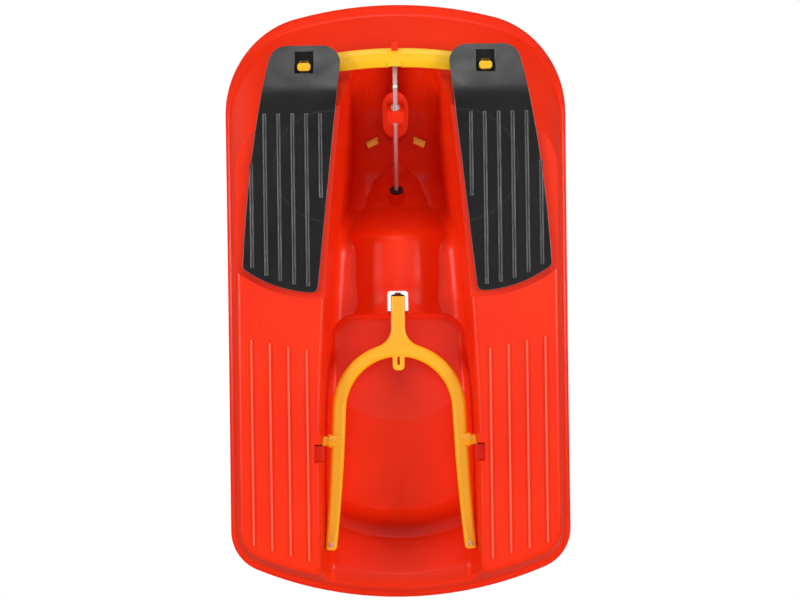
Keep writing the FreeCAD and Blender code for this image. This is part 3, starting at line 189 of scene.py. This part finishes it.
def finish_tree(tree, instances, way_out, material):
    """Make the instances real, shade them and give them their finish."""
    realize = tree.nodes.new("GeometryNodeRealizeInstances")
    smooth = tree.nodes.new("GeometryNodeSetShadeSmooth")
    paint = tree.nodes.new("GeometryNodeSetMaterial")
    paint.inputs["Material"].default_value = material
    tree.links.new(instances, realize.inputs["Geometry"])
    tree.links.new(realize.outputs["Geometry"], smooth.inputs["Geometry"])
    tree.links.new(smooth.outputs["Geometry"], paint.inputs["Geometry"])
    tree.links.new(paint.outputs["Geometry"], way_out.inputs["Geometry"])


def put_in_scene(name, data):
    """A new object in the scene, at the origin."""
    thing = bpy.data.objects.new(name, data)
    bpy.context.scene.collection.objects.link(thing)
    return thing


def plain_mesh(holder):
    """The mesh that an object's modifiers give, as a mesh of its own."""
    evaluated = holder.evaluated_get(bpy.context.evaluated_depsgraph_get())
    return bpy.data.meshes.new_from_object(evaluated)


def grown_piece(name, points, tree, sizes):
    """Run a tree on a set of points and keep the result as a plain mesh piece."""
    seeds = bpy.data.meshes.new(name + "_points")
    seeds.from_pydata(points, [], [])
    holder = put_in_scene(name + "_points", seeds)
    modifier = holder.modifiers.new("tree", "NODES")
    modifier.node_group = tree
    for socket in tree.interface.items_tree:
        if socket.in_out == "INPUT" and socket.name in sizes:
            modifier[socket.identifier] = sizes[socket.name]
    mesh = plain_mesh(holder)
    holder.modifiers.clear()
    bpy.data.objects.remove(holder)
    return put_in_scene(name, mesh)


tree, way_in, way_out = size_tree("tool_mark_tree", [
    ("Hull", "NodeSocketObject"), ("Ring radius", "NodeSocketFloat"),
    ("Line radius", "NodeSocketFloat")])
hull_skin = tree.nodes.new("GeometryNodeObjectInfo")
tree.links.new(way_in.outputs["Hull"], hull_skin.inputs["Object"])
touch = tree.nodes.new("GeometryNodeRaycast")
touch.inputs["Ray Direction"].default_value = (0, 0, 1)
tree.links.new(hull_skin.outputs["Geometry"], touch.inputs["Target Geometry"])
keep_way = tree.nodes.new("GeometryNodeCaptureAttribute")
keep_way.capture_items.new("VECTOR", "Facing")
tree.links.new(way_in.outputs["Geometry"], keep_way.inputs["Geometry"])
tree.links.new(touch.outputs["Hit Normal"], keep_way.inputs["Facing"])
land = tree.nodes.new("GeometryNodeSetPosition")
tree.links.new(keep_way.outputs["Geometry"], land.inputs["Geometry"])
tree.links.new(touch.outputs["Hit Position"], land.inputs["Position"])
face_out = tree.nodes.new("FunctionNodeAlignRotationToVector")
face_out.axis = "Z"
tree.links.new(keep_way.outputs["Facing"], face_out.inputs["Vector"])
ring = tree.nodes.new("GeometryNodeCurvePrimitiveCircle")
ring.inputs["Resolution"].default_value = MARK_STEPS
tree.links.new(way_in.outputs["Ring radius"], ring.inputs["Radius"])
line = tree.nodes.new("GeometryNodeCurvePrimitiveCircle")
line.inputs["Resolution"].default_value = MARK_SIDES
tree.links.new(way_in.outputs["Line radius"], line.inputs["Radius"])
sweep = tree.nodes.new("GeometryNodeCurveToMesh")
tree.links.new(ring.outputs["Curve"], sweep.inputs["Curve"])
tree.links.new(line.outputs["Curve"], sweep.inputs["Profile Curve"])
place_rings = tree.nodes.new("GeometryNodeInstanceOnPoints")
tree.links.new(land.outputs["Geometry"], place_rings.inputs["Points"])
tree.links.new(sweep.outputs["Mesh"], place_rings.inputs["Instance"])
tree.links.new(face_out.outputs["Rotation"], place_rings.inputs["Rotation"])
finish_tree(tree, place_rings.outputs["Instances"], way_out, hull_plastic)
tool_marks = grown_piece("tool_marks", [(x, y, MARK_START_Z) for x, y in MARK_PLACES], tree, {
    "Hull": nodes["hull"], "Ring radius": MARK_RADIUS, "Line radius": MARK_LINE})
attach(tool_marks, "sled")

# Column bush: the black grommet that guides the steering rod through the dash.
# It is moulded rubber, dull and a little dusty, and pressed into the dash boss.
GROMMET_BLACK = (0.016, 0.016, 0.017, 1.0)
GROMMET_GREY = (0.028, 0.028, 0.029, 1.0)
grommet_rubber = moulded_plastic(
    "grommet_rubber", GROMMET_GREY, GROMMET_BLACK, roughness=0.62, gloss=0.4, grain=0.2)
dress("column_grommet", grommet_rubber)

# Nose cover: the yellow lid on top of the cowl, a thin semi-gloss moulding.
# It snaps into the cowl with three tabs, and its edges are painted paler, partly wear and partly
# a painted highlight.
COVER_YELLOW = (0.90, 0.50, 0.008, 1.0)
COVER_YELLOW_DEEP = (0.86, 0.45, 0.006, 1.0)
COVER_EDGE_WEAR_AND_HIGHLIGHT = (0.95, 0.64, 0.080, 1.0)
COVER_EDGE_RADIUS = 0.0015
EDGE_SAMPLES = 6
EDGE_START = 0.99
EDGE_FULL = 0.85
EDGE_PATCH_SCALE = 40
EDGE_PATCH_DETAIL = 4
EDGE_PATCH_LEAST = 0.4


def arithmetic(tree, operation, *values):
    """One step of arithmetic; each value is a number or another node's output."""
    step = tree.nodes.new("ShaderNodeMath")
    step.operation = operation
    for socket, value in zip(step.inputs, values):
        if isinstance(value, (int, float)):
            socket.default_value = value
        else:
            tree.links.new(value, socket)
    return step.outputs["Value"]


def worn_and_highlit_edges(material, edge, radius):
    """Round the sharp edges of a finish and paint them paler in patches, partly wear and partly a
    painted highlight.
    """
    tree = material.node_tree
    bevel = tree.nodes.new("ShaderNodeBevel")
    bevel.samples = EDGE_SAMPLES
    bevel.inputs["Radius"].default_value = radius
    geometry = tree.nodes.new("ShaderNodeNewGeometry")
    turn = tree.nodes.new("ShaderNodeVectorMath")
    turn.operation = "DOT_PRODUCT"
    tree.links.new(bevel.outputs["Normal"], turn.inputs[0])
    tree.links.new(geometry.outputs["Normal"], turn.inputs[1])
    near_edge = spread(tree, turn.outputs["Value"], EDGE_START, EDGE_FULL, 0.0, 1.0)
    in_patches = patches(
        tree, object_noise(tree, EDGE_PATCH_SCALE, EDGE_PATCH_DETAIL), EDGE_PATCH_LEAST, 1.0)
    # Painted highlight mixed with wear: the edge colour is laid over near sharp edges, in
    # patches.
    lay_over(tree, arithmetic(tree, "MULTIPLY", near_edge, in_patches), edge)
    tree.links.new(bevel.outputs["Normal"], tree.nodes["relief"].inputs["Normal"])


yellow_plastic = moulded_plastic(
    "yellow_plastic", COVER_YELLOW, COVER_YELLOW_DEEP, roughness=0.32, gloss=0.45, grain=0.05)
worn_and_highlit_edges(yellow_plastic, COVER_EDGE_WEAR_AND_HIGHLIGHT, COVER_EDGE_RADIUS)
dress("nose_cover", yellow_plastic)

# Snap barbs: the hooked ends of the cover's two side tabs, which catch under the cowl's ceiling.
# They are part of the yellow moulding, with edges rounded by the tool.
BARB_WIDTH = 0.0185
BARB_LENGTH = 0.0085
BARB_HEIGHT = 0.0034
BARB_X = 0.0373
BARB_Y = -0.2512
BARB_TURN = math.radians(25)
BARB_ROUND = 0.0009
ROUND_SEGMENTS = 3
ROUND_PROFILE = 0.5


def edged_block(name, size, place, turn, soft, material):
    """Rounded block turned about the upright axis, as a plain mesh piece."""
    shape = bmesh.new()
    corners = bmesh.ops.create_cube(shape, size=1.0)["verts"]
    bmesh.ops.scale(shape, vec=size, verts=corners)
    bmesh.ops.bevel(
        shape, geom=shape.edges[:], offset=soft, segments=ROUND_SEGMENTS,
        affect="EDGES", profile=ROUND_PROFILE)
    stand = Matrix.Translation(place) @ Matrix.Rotation(turn, 4, "Z")
    bmesh.ops.transform(shape, matrix=stand, verts=shape.verts[:])
    for face in shape.faces:
        face.smooth = True
    mesh = bpy.data.meshes.new(name)
    shape.to_mesh(mesh)
    shape.free()
    mesh.materials.append(material)
    return put_in_scene(name, mesh)


tab_inner_x = BARB_X - BARB_WIDTH / 2
cover_points = [vertex.co for vertex in nodes["nose_cover"].data.vertices]
tab_end_z = min(point.z for point in cover_points if point.x > tab_inner_x)
for side, sign in (("left", -1), ("right", 1)):
    barb = edged_block(
        "snap_barb_" + side, (BARB_WIDTH, BARB_LENGTH, BARB_HEIGHT),
        (sign * BARB_X, BARB_Y, tab_end_z + BARB_HEIGHT / 2),
        sign * BARB_TURN, BARB_ROUND, yellow_plastic)
    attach(barb, "sled")

# Steering skis: black mouldings with wear ribs on the sole, each on a stud in the runner floor.
# A faint ring from the tool lies round each stud, and the edges are painted grey, partly wear and
# partly a painted highlight.
SKI_BLACK = (0.012, 0.0114, 0.0126, 1.0)
SKI_BLACK_DEEP = (0.009, 0.0086, 0.0095, 1.0)
SKI_EDGE_WEAR_AND_HIGHLIGHT = (0.30, 0.29, 0.28, 1.0)
SKI_EDGE_RADIUS = 0.0013
SKI_RING_GREY = (0.055, 0.053, 0.053, 1.0)
SKI_RING_X = 0.102
SKI_RING_Y = -0.206
SKI_RING_RADIUS = 0.085
SKI_RING_LINE = 0.0011
SKI_RING_MOST = 0.55


def ski_finish(name, ring_x):
    """Black moulded skin with edges painted paler, partly wear and partly a painted highlight,
    and a thin ring left by the tool.
    """
    material = moulded_plastic(
        name, SKI_BLACK, SKI_BLACK_DEEP, roughness=0.34, gloss=0.62, grain=0.06)
    # Edges painted grey: partly wear, partly a painted highlight along the sharp edges.
    worn_and_highlit_edges(material, SKI_EDGE_WEAR_AND_HIGHLIGHT, SKI_EDGE_RADIUS)
    tree = material.node_tree
    place = tree.nodes.new("ShaderNodeTexCoord")
    flat = tree.nodes.new("ShaderNodeMapping")
    flat.inputs["Scale"].default_value = (1, 1, 0)
    reach = tree.nodes.new("ShaderNodeVectorMath")
    reach.operation = "DISTANCE"
    reach.inputs[1].default_value = (ring_x, SKI_RING_Y, 0)
    tree.links.new(place.outputs["Object"], flat.inputs["Vector"])
    tree.links.new(flat.outputs["Vector"], reach.inputs[0])
    past_ring = arithmetic(tree, "SUBTRACT", reach.outputs["Value"], SKI_RING_RADIUS)
    off_ring = arithmetic(tree, "ABSOLUTE", past_ring)
    lay_over(tree, spread(tree, off_ring, 0.0, SKI_RING_LINE, SKI_RING_MOST, 0.0), SKI_RING_GREY)
    return material


for side, sign in (("left", -1), ("right", 1)):
    dress("ski_" + side, ski_finish("ski_plastic_" + side, sign * SKI_RING_X))

# Ski washers and screws: stamped and turned steel with a bright zinc plating.
# On each side a washer and a screw with a cross recess hold the ski's stud in the runner floor.
ZINC = (0.80, 0.81, 0.82, 1.0)
ZINC_DARK = (0.66, 0.67, 0.68, 1.0)
ZINC_METALLIC = 0.6
ZINC_UNEVEN = 0.03
DRAWN_SCALE = 40
DRAWN_DETAIL = 3
DRAWN_RELIEF = 0.03
DRAWN_DEPTH = 0.0001
RECESS_LENGTH = 0.0064
RECESS_WIDTH = 0.0016
RECESS_DEPTH = 0.0022
MERGE_DISTANCE = 1e-6


def plated_steel(name, roughness, stretch=(1, 1, 1), turn=(0, 0, 0)):
    """Plated steel with fine drawing lines across the stretched axis."""
    material, tree, shader = new_material(name)
    drawn = object_noise(tree, DRAWN_SCALE, DRAWN_DETAIL, stretch, turn)
    lines = patches(tree, drawn, 0.0, 1.0)
    tree.links.new(blend_colour(tree, lines, ZINC_DARK, ZINC), shader.inputs["Base Color"])
    shader.inputs["Metallic"].default_value = ZINC_METALLIC
    uneven = spread(tree, lines, 0.0, 1.0, roughness + ZINC_UNEVEN, roughness - ZINC_UNEVEN)
    tree.links.new(uneven, shader.inputs["Roughness"])
    relief(tree, shader, lines, DRAWN_RELIEF, DRAWN_DEPTH)
    return material


def merged_shape(node):
    """A CAD node's shape with its loose triangles merged."""
    shape = bmesh.new()
    shape.from_mesh(nodes[node].data)
    bmesh.ops.remove_doubles(shape, verts=shape.verts, dist=MERGE_DISTANCE)
    return shape


def recessed_screw(node, body, top, axis):
    """A screw as modelled, with a cross recess sunk into the middle of its head."""
    mesh = nodes[node].data.copy()
    shape = merged_shape(node)
    shape.to_mesh(mesh)
    shape.free()
    cross = bmesh.new()
    for length, width in ((RECESS_LENGTH, RECESS_WIDTH), (RECESS_WIDTH, RECESS_LENGTH)):
        bar = bmesh.ops.create_cube(cross, size=1.0)["verts"]
        bmesh.ops.scale(cross, vec=(length, width, 2 * RECESS_DEPTH), verts=bar)
    aim = Vector(axis).to_track_quat("Z", "Y").to_matrix().to_4x4()
    bmesh.ops.transform(cross, matrix=Matrix.Translation(top) @ aim, verts=cross.verts)
    cutter_mesh = bpy.data.meshes.new(node + "_cross")
    cross.to_mesh(cutter_mesh)
    cross.free()
    cutter = put_in_scene(node + "_cross", cutter_mesh)
    blank = put_in_scene(node + "_blank", mesh)
    cut = blank.modifiers.new("recess", "BOOLEAN")
    cut.object = cutter
    cut.solver = "EXACT"
    cut.use_self = True
    result = plain_mesh(blank)
    for spare in (cutter, blank):
        bpy.data.objects.remove(spare)
    result.materials.clear()
    result.materials.append(hardware_steel)
    screw = put_in_scene(node + "_head", result)
    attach(screw, body)
    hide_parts(node)


hardware_steel = plated_steel("hardware_steel", roughness=0.30)
for side in ("left", "right"):
    dress("ski_washer_" + side, hardware_steel)
    low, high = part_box("ski_screw_" + side)
    top = ((low[0] + high[0]) / 2, (low[1] + high[1]) / 2, high[2])
    recessed_screw("ski_screw_" + side, side + "_ski", top, (0, 0, 1))

# Tie bar: the half-round link between both skis, moulded in the cover's yellow plastic.
# A peg at each end sits in its ski's pocket, and the rod's end works in the groove at its middle.
dress("tie_bar", yellow_plastic)

# Rod lip: a thin floor moulded under the bar's groove, so the rod's end lies in a closed pocket.
# It is level with the lowest line of the bar's round underside.
LIP_WIDTH = 0.0205
LIP_THICK = 0.0015
LIP_FRONT = 0.0100
LIP_REAR = 0.0143
LIP_ROUND = 0.0004
BAR_MIDDLE_Y = -0.376
BAR_UNDER_Z = 0.038
rod_lip = edged_block(
    "rod_lip", (LIP_WIDTH, LIP_FRONT + LIP_REAR, LIP_THICK),
    (0, BAR_MIDDLE_Y + (LIP_REAR - LIP_FRONT) / 2, BAR_UNDER_Z + LIP_THICK / 2),
    0, LIP_ROUND, yellow_plastic)
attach(rod_lip, "tie")

# Steering rod: drawn steel bar, zinc plated and bent cold, from the tie bar up through the dash.
# Two pressed collars keep it in its strap, and a thrust washer and a nut hold the wheel on it.
COLUMN_DEGREES = 42
ROD_STRETCH = (6, 0.4, 6)
ROD_TURN = (math.radians(-COLUMN_DEGREES), 0, 0)
rod_steel = plated_steel("rod_steel", roughness=0.24, stretch=ROD_STRETCH, turn=ROD_TURN)
for node in ("steering_rod", "rod_collar_front", "rod_collar_rear", "column_washer", "wheel_nut"):
    dress(node, rod_steel)

# Steering wheel: a black three-spoke moulding with a satin, grained skin, on the rod's upper end.
# A yellow cap in the cover's plastic snaps over its nut.
WHEEL_BLACK = (0.022, 0.021, 0.022, 1.0)
WHEEL_BLACK_DEEP = (0.014, 0.0135, 0.014, 1.0)
WHEEL_EDGE_WEAR_AND_HIGHLIGHT = (0.10, 0.098, 0.096, 1.0)
WHEEL_EDGE_RADIUS = 0.0014
wheel_plastic = moulded_plastic(
    "wheel_plastic", WHEEL_BLACK, WHEEL_BLACK_DEEP, roughness=0.46, gloss=0.5, grain=0.30)
# Edges painted paler: partly wear, partly a painted highlight along the sharp edges.
worn_and_highlit_edges(wheel_plastic, WHEEL_EDGE_WEAR_AND_HIGHLIGHT, WHEEL_EDGE_RADIUS)
dress("steering_wheel", wheel_plastic)
dress("wheel_cap", yellow_plastic)

# Finger ridges: low bars across the back of the wheel's rim, all round it, for a firmer hold.
# They are moulded with the rim, in the same black plastic.
RIM_RADIUS = 0.092
RIM_TUBE = 0.012
RIDGE_COUNT = 36
RIDGE_RADIUS = 0.0012
RIDGE_SWEEP = math.radians(120)
RIDGE_STEPS = 9
RIDGE_SIDES = 6
RIDGE_STAND = (math.radians(90), math.radians(90), 0)
RIM_LEAN = math.radians(COLUMN_DEGREES - 90)
low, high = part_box("steering_wheel")
RIM_MIDDLE = tuple((a + b) / 2 for a, b in zip(low, high))

tree, way_in, way_out = size_tree("finger_ridge_tree", [
    ("Count", "NodeSocketInt"), ("Rim radius", "NodeSocketFloat"),
    ("Tube radius", "NodeSocketFloat"), ("Ridge radius", "NodeSocketFloat"),
    ("Sweep", "NodeSocketFloat"), ("Middle", "NodeSocketVector"), ("Lean", "NodeSocketFloat")])
round_rim = tree.nodes.new("GeometryNodeMeshCircle")
tree.links.new(way_in.outputs["Count"], round_rim.inputs["Vertices"])
tree.links.new(way_in.outputs["Rim radius"], round_rim.inputs["Radius"])
arc = tree.nodes.new("GeometryNodeCurveArc")
arc.inputs["Resolution"].default_value = RIDGE_STEPS
arc_start = arithmetic(tree, "MULTIPLY", way_in.outputs["Sweep"], -0.5)
tree.links.new(way_in.outputs["Tube radius"], arc.inputs["Radius"])
tree.links.new(way_in.outputs["Sweep"], arc.inputs["Sweep Angle"])
tree.links.new(arc_start, arc.inputs["Start Angle"])
section = tree.nodes.new("GeometryNodeCurvePrimitiveCircle")
section.inputs["Resolution"].default_value = RIDGE_SIDES
tree.links.new(way_in.outputs["Ridge radius"], section.inputs["Radius"])
bar = tree.nodes.new("GeometryNodeCurveToMesh")
bar.inputs["Fill Caps"].default_value = True
tree.links.new(arc.outputs["Curve"], bar.inputs["Curve"])
tree.links.new(section.outputs["Curve"], bar.inputs["Profile Curve"])
stand = tree.nodes.new("GeometryNodeTransform")
stand.inputs["Rotation"].default_value = RIDGE_STAND
tree.links.new(bar.outputs["Mesh"], stand.inputs["Geometry"])
number = tree.nodes.new("GeometryNodeInputIndex")
share = arithmetic(tree, "DIVIDE", number.outputs["Index"], way_in.outputs["Count"])
about_hub = tree.nodes.new("ShaderNodeCombineXYZ")
tree.links.new(arithmetic(tree, "MULTIPLY", share, 2 * math.pi), about_hub.inputs["Z"])
place_bars = tree.nodes.new("GeometryNodeInstanceOnPoints")
tree.links.new(round_rim.outputs["Mesh"], place_bars.inputs["Points"])
tree.links.new(stand.outputs["Geometry"], place_bars.inputs["Instance"])
tree.links.new(about_hub.outputs["Vector"], place_bars.inputs["Rotation"])
lean = tree.nodes.new("ShaderNodeCombineXYZ")
tree.links.new(way_in.outputs["Lean"], lean.inputs["X"])
on_column = tree.nodes.new("GeometryNodeTransform")
tree.links.new(place_bars.outputs["Instances"], on_column.inputs["Geometry"])
tree.links.new(lean.outputs["Vector"], on_column.inputs["Rotation"])
tree.links.new(way_in.outputs["Middle"], on_column.inputs["Translation"])
finish_tree(tree, on_column.outputs["Geometry"], way_out, wheel_plastic)
finger_ridges = grown_piece("finger_ridges", [(0, 0, 0)], tree, {
    "Count": RIDGE_COUNT, "Rim radius": RIM_RADIUS, "Tube radius": RIM_TUBE,
    "Ridge radius": RIDGE_RADIUS, "Sweep": RIDGE_SWEEP, "Middle": RIM_MIDDLE, "Lean": RIM_LEAN})
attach(finger_ridges, "steering")

# Brake fork: an orange-yellow moulding under the seat, with its stem up through the slot.
# Behind its pivot the two legs sweep a little out and down, and narrow towards their ends.
FORK_YELLOW = (0.90, 0.40, 0.008, 1.0)
FORK_YELLOW_DEEP = (0.86, 0.35, 0.006, 1.0)
FORK_BEND_Y = 0.235
FORK_END_Y = 0.386
FORK_BEND_OUT = 0.0040
FORK_BEND_DOWN = 0.0040
FORK_BEND_STEPS = 10
FORK_TAPER = 0.16
FORK_LEG_X = 0.0965
FORK_SPLAY_SLOPE = 0.0524
SMOOTH_LIMIT = 0.8


def bent_copy(node, name, material, taper):
    """A brake piece whose ends behind the pivot are swept outwards and drawn narrower."""
    shape = merged_shape(node)
    for step in range(FORK_BEND_STEPS):
        cut_y = FORK_BEND_Y + (FORK_END_Y - FORK_BEND_Y) * step / FORK_BEND_STEPS
        bmesh.ops.bisect_plane(
            shape, geom=shape.verts[:] + shape.edges[:] + shape.faces[:], dist=MERGE_DISTANCE,
            plane_co=(0, cut_y, 0), plane_no=(0, 1, 0))
    for vertex in shape.verts:
        along = (vertex.co.y - FORK_BEND_Y) / (FORK_END_Y - FORK_BEND_Y)
        if along > 0:
            sign = math.copysign(1, vertex.co.x)
            middle = sign * (FORK_LEG_X + (vertex.co.y - FORK_BEND_Y) * FORK_SPLAY_SLOPE)
            narrowed = (vertex.co.x - middle) * (1 - taper * min(along, 1))
            vertex.co.x = middle + narrowed + sign * FORK_BEND_OUT * along ** 2
            vertex.co.z -= FORK_BEND_DOWN * along ** 2
    bmesh.ops.triangulate(shape, faces=shape.faces[:])
    shape.normal_update()
    corner_normals = []
    for face in shape.faces:
        face.smooth = True
        for vertex in face.verts:
            normal = Vector()
            for other in vertex.link_faces:
                if other.normal.dot(face.normal) > SMOOTH_LIMIT:
                    normal += other.normal * other.calc_area()
            corner_normals.append(normal.normalized() if normal.length > 0 else face.normal)
    mesh = bpy.data.meshes.new(name)
    shape.to_mesh(mesh)
    shape.free()
    mesh.normals_split_custom_set(corner_normals)
    mesh.materials.append(material)
    piece = put_in_scene(name, mesh)
    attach(piece, "brake")
    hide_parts(node)


fork_plastic = moulded_plastic(
    "fork_plastic", FORK_YELLOW, FORK_YELLOW_DEEP, roughness=0.32, gloss=0.50, grain=0.05)
bent_copy("brake_fork", "brake_fork_bent", fork_plastic, FORK_TAPER)

# Brake pins and claws: turned steel pins with the same zinc plating as the screws.
# The pins carry the fork in the channel walls; the claws are pressed into the ends of its legs.
CLAW_TAPER = 0
for side in ("left", "right"):
    dress("brake_pin_" + side, hardware_steel)
    bent_copy(
        "brake_claw_" + side, "brake_claw_bent_" + side, hardware_steel, CLAW_TAPER)

# Brake grip: the black hand grip on the fork's stem, moulded in the wheel's grained plastic.
# One plated screw with a cross recess holds it from the front.
dress("brake_grip", wheel_plastic)
low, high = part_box("brake_grip_screw")
top = ((low[0] + high[0]) / 2, low[1], (low[2] + high[2]) / 2)
recessed_screw("brake_grip_screw", "brake", top, (0, -1, 0))

# Grip ribs: half-round bars across the back of the brake grip, where the fingers pull.
# They are moulded with the grip, in the same black plastic.
GRIP_RIB_COUNT = 8
GRIP_RIB_PITCH = 0.0065
GRIP_RIB_RADIUS = 0.0013
GRIP_RIB_LENGTH = 0.0136
GRIP_RIB_SIDES = 12
GRIP_RIB_FIRST_Z = 0.130
GRIP_RIB_STAND = (0, math.radians(90), 0)
grip_back_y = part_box("brake_grip")[1][1]

tree, way_in, way_out = size_tree("grip_rib_tree", [
    ("Count", "NodeSocketInt"), ("Pitch", "NodeSocketFloat"), ("Rib radius", "NodeSocketFloat"),
    ("Rib length", "NodeSocketFloat"), ("First", "NodeSocketVector")])
step = tree.nodes.new("ShaderNodeCombineXYZ")
tree.links.new(way_in.outputs["Pitch"], step.inputs["Z"])
row = tree.nodes.new("GeometryNodeMeshLine")
tree.links.new(way_in.outputs["Count"], row.inputs["Count"])
tree.links.new(way_in.outputs["First"], row.inputs["Start Location"])
tree.links.new(step.outputs["Vector"], row.inputs["Offset"])
rib = tree.nodes.new("GeometryNodeMeshCylinder")
rib.inputs["Vertices"].default_value = GRIP_RIB_SIDES
tree.links.new(way_in.outputs["Rib radius"], rib.inputs["Radius"])
tree.links.new(way_in.outputs["Rib length"], rib.inputs["Depth"])
place_ribs = tree.nodes.new("GeometryNodeInstanceOnPoints")
place_ribs.inputs["Rotation"].default_value = GRIP_RIB_STAND
tree.links.new(row.outputs["Mesh"], place_ribs.inputs["Points"])
tree.links.new(rib.outputs["Mesh"], place_ribs.inputs["Instance"])
finish_tree(tree, place_ribs.outputs["Instances"], way_out, wheel_plastic)
grip_ribs = grown_piece("grip_ribs", [(0, 0, 0)], tree, {
    "Count": GRIP_RIB_COUNT, "Pitch": GRIP_RIB_PITCH, "Rib radius": GRIP_RIB_RADIUS,
    "Rib length": GRIP_RIB_LENGTH, "First": (0, grip_back_y, GRIP_RIB_FIRST_Z)})
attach(grip_ribs, "brake")

# Stage: a pale floor that only shows from above, white surroundings, soft lamps and the camera.
# The picture looks straight up at the sole of the sled.
FLOOR_HALF = 4.0
FLOOR_Z = -0.0006
FLOOR_PALE = (0.80, 0.80, 0.80, 1.0)
FLOOR_ROUGHNESS = 0.9
STUDIO_WHITE = (1, 1, 1, 1)
STUDIO_SEEN = 1.0
AMBIENT = 0.26
MIRRORED_ABOVE = 0.08
MIRRORED_BELOW = 0.10
MIRRORED_FROM = -0.95
MIRRORED_TO = 0.2
LAMP_AIM = (0, 0, 0.1)
SMALL_LAMP = 0.8
NOSE_LAMP = 0.9
BROAD_LAMP = 1.6
LAMPS = (
    ("lamp_below_left", (-2.4, -0.3, -1.5), SMALL_LAMP, 44, True),
    ("lamp_below_right", (2.4, -0.3, -1.5), SMALL_LAMP, 44, True),
    ("lamp_below_nose", (0.0, -3.2, -2.4), NOSE_LAMP, 17, True),
    ("lamp_low_nose", (0.0, -3.3, -1.0), BROAD_LAMP, 32, False),
    ("lamp_low_tail", (0.0, 3.0, -1.0), BROAD_LAMP, 54, False),
    ("lamp_below", (0.2, -0.3, -3.4), BROAD_LAMP, 18, False),
    ("lamp_above_left", (-1.8, -1.2, 2.2), BROAD_LAMP, 50, False),
    ("lamp_above_right", (1.8, 1.0, 2.2), BROAD_LAMP, 40, False))
CAMERA_DISTANCE = 3.3
CAMERA_X = 0.0034
CAMERA_ROLL = math.radians(0.75)
METRES_PER_PIXEL = 0.00153
PICTURE_WIDTH = 800
SENSOR = 36.0

floor_corners = [
    (x * FLOOR_HALF, y * FLOOR_HALF, FLOOR_Z) for x, y in ((-1, -1), (1, -1), (1, 1), (-1, 1))]
floor_mesh = bpy.data.meshes.new("floor")
floor_mesh.from_pydata(floor_corners, [], [(0, 1, 2, 3)])
floor = put_in_scene("floor", floor_mesh)
floor_paint, tree, shader = new_material("floor_paint")
shader.inputs["Base Color"].default_value = FLOOR_PALE
shader.inputs["Roughness"].default_value = FLOOR_ROUGHNESS
path = tree.nodes.new("ShaderNodeLightPath")
geometry = tree.nodes.new("ShaderNodeNewGeometry")
from_above = arithmetic(
    tree, "GREATER_THAN", path.outputs["Is Camera Ray"], geometry.outputs["Backfacing"])
clear = tree.nodes.new("ShaderNodeBsdfTransparent")
choose = tree.nodes.new("ShaderNodeMixShader")
tree.links.new(from_above, choose.inputs["Fac"])
tree.links.new(clear.outputs["BSDF"], choose.inputs[1])
tree.links.new(shader.outputs["BSDF"], choose.inputs[2])
tree.links.new(choose.outputs["Shader"], tree.nodes["Material Output"].inputs["Surface"])
floor_mesh.materials.append(floor_paint)

world = bpy.data.worlds.new("studio")
bpy.context.scene.world = world
world.use_nodes = True
tree = world.node_tree
background = tree.nodes["Background"]
background.inputs["Color"].default_value = STUDIO_WHITE
path = tree.nodes.new("ShaderNodeLightPath")
way = tree.nodes.new("ShaderNodeTexCoord")
parts = tree.nodes.new("ShaderNodeSeparateXYZ")
tree.links.new(way.outputs["Generated"], parts.inputs["Vector"])
mirrored = spread(
    tree, parts.outputs["Z"], MIRRORED_FROM, MIRRORED_TO, MIRRORED_BELOW, MIRRORED_ABOVE)
glossy = tree.nodes.new("ShaderNodeMix")
glossy.inputs["A"].default_value = AMBIENT
tree.links.new(path.outputs["Is Glossy Ray"], glossy.inputs["Factor"])
tree.links.new(mirrored, glossy.inputs["B"])
straight = arithmetic(
    tree, "MAXIMUM", path.outputs["Is Camera Ray"], path.outputs["Is Transmission Ray"])
strength = tree.nodes.new("ShaderNodeMix")
strength.inputs["B"].default_value = STUDIO_SEEN
tree.links.new(straight, strength.inputs["Factor"])
tree.links.new(glossy.outputs["Result"], strength.inputs["A"])
tree.links.new(strength.outputs["Result"], background.inputs["Strength"])

for name, spot, width, watts, seen_in_gloss in LAMPS:
    light = bpy.data.lights.new(name, "AREA")
    light.size = width
    light.energy = watts
    lamp = put_in_scene(name, light)
    lamp.location = spot
    lamp.rotation_euler = (Vector(LAMP_AIM) - Vector(spot)).to_track_quat("-Z", "Y").to_euler()
    lamp.visible_glossy = seen_in_gloss

camera_data = bpy.data.cameras.new("camera")
camera_data.sensor_width = SENSOR
camera_data.lens = SENSOR * CAMERA_DISTANCE / (PICTURE_WIDTH * METRES_PER_PIXEL)
camera = put_in_scene("camera", camera_data)
camera.location = (CAMERA_X, 0, -CAMERA_DISTANCE)
camera.rotation_euler = (math.pi, 0, CAMERA_ROLL)
bpy.context.scene.camera = camera
bpy.context.scene.view_settings.view_transform = "Standard"
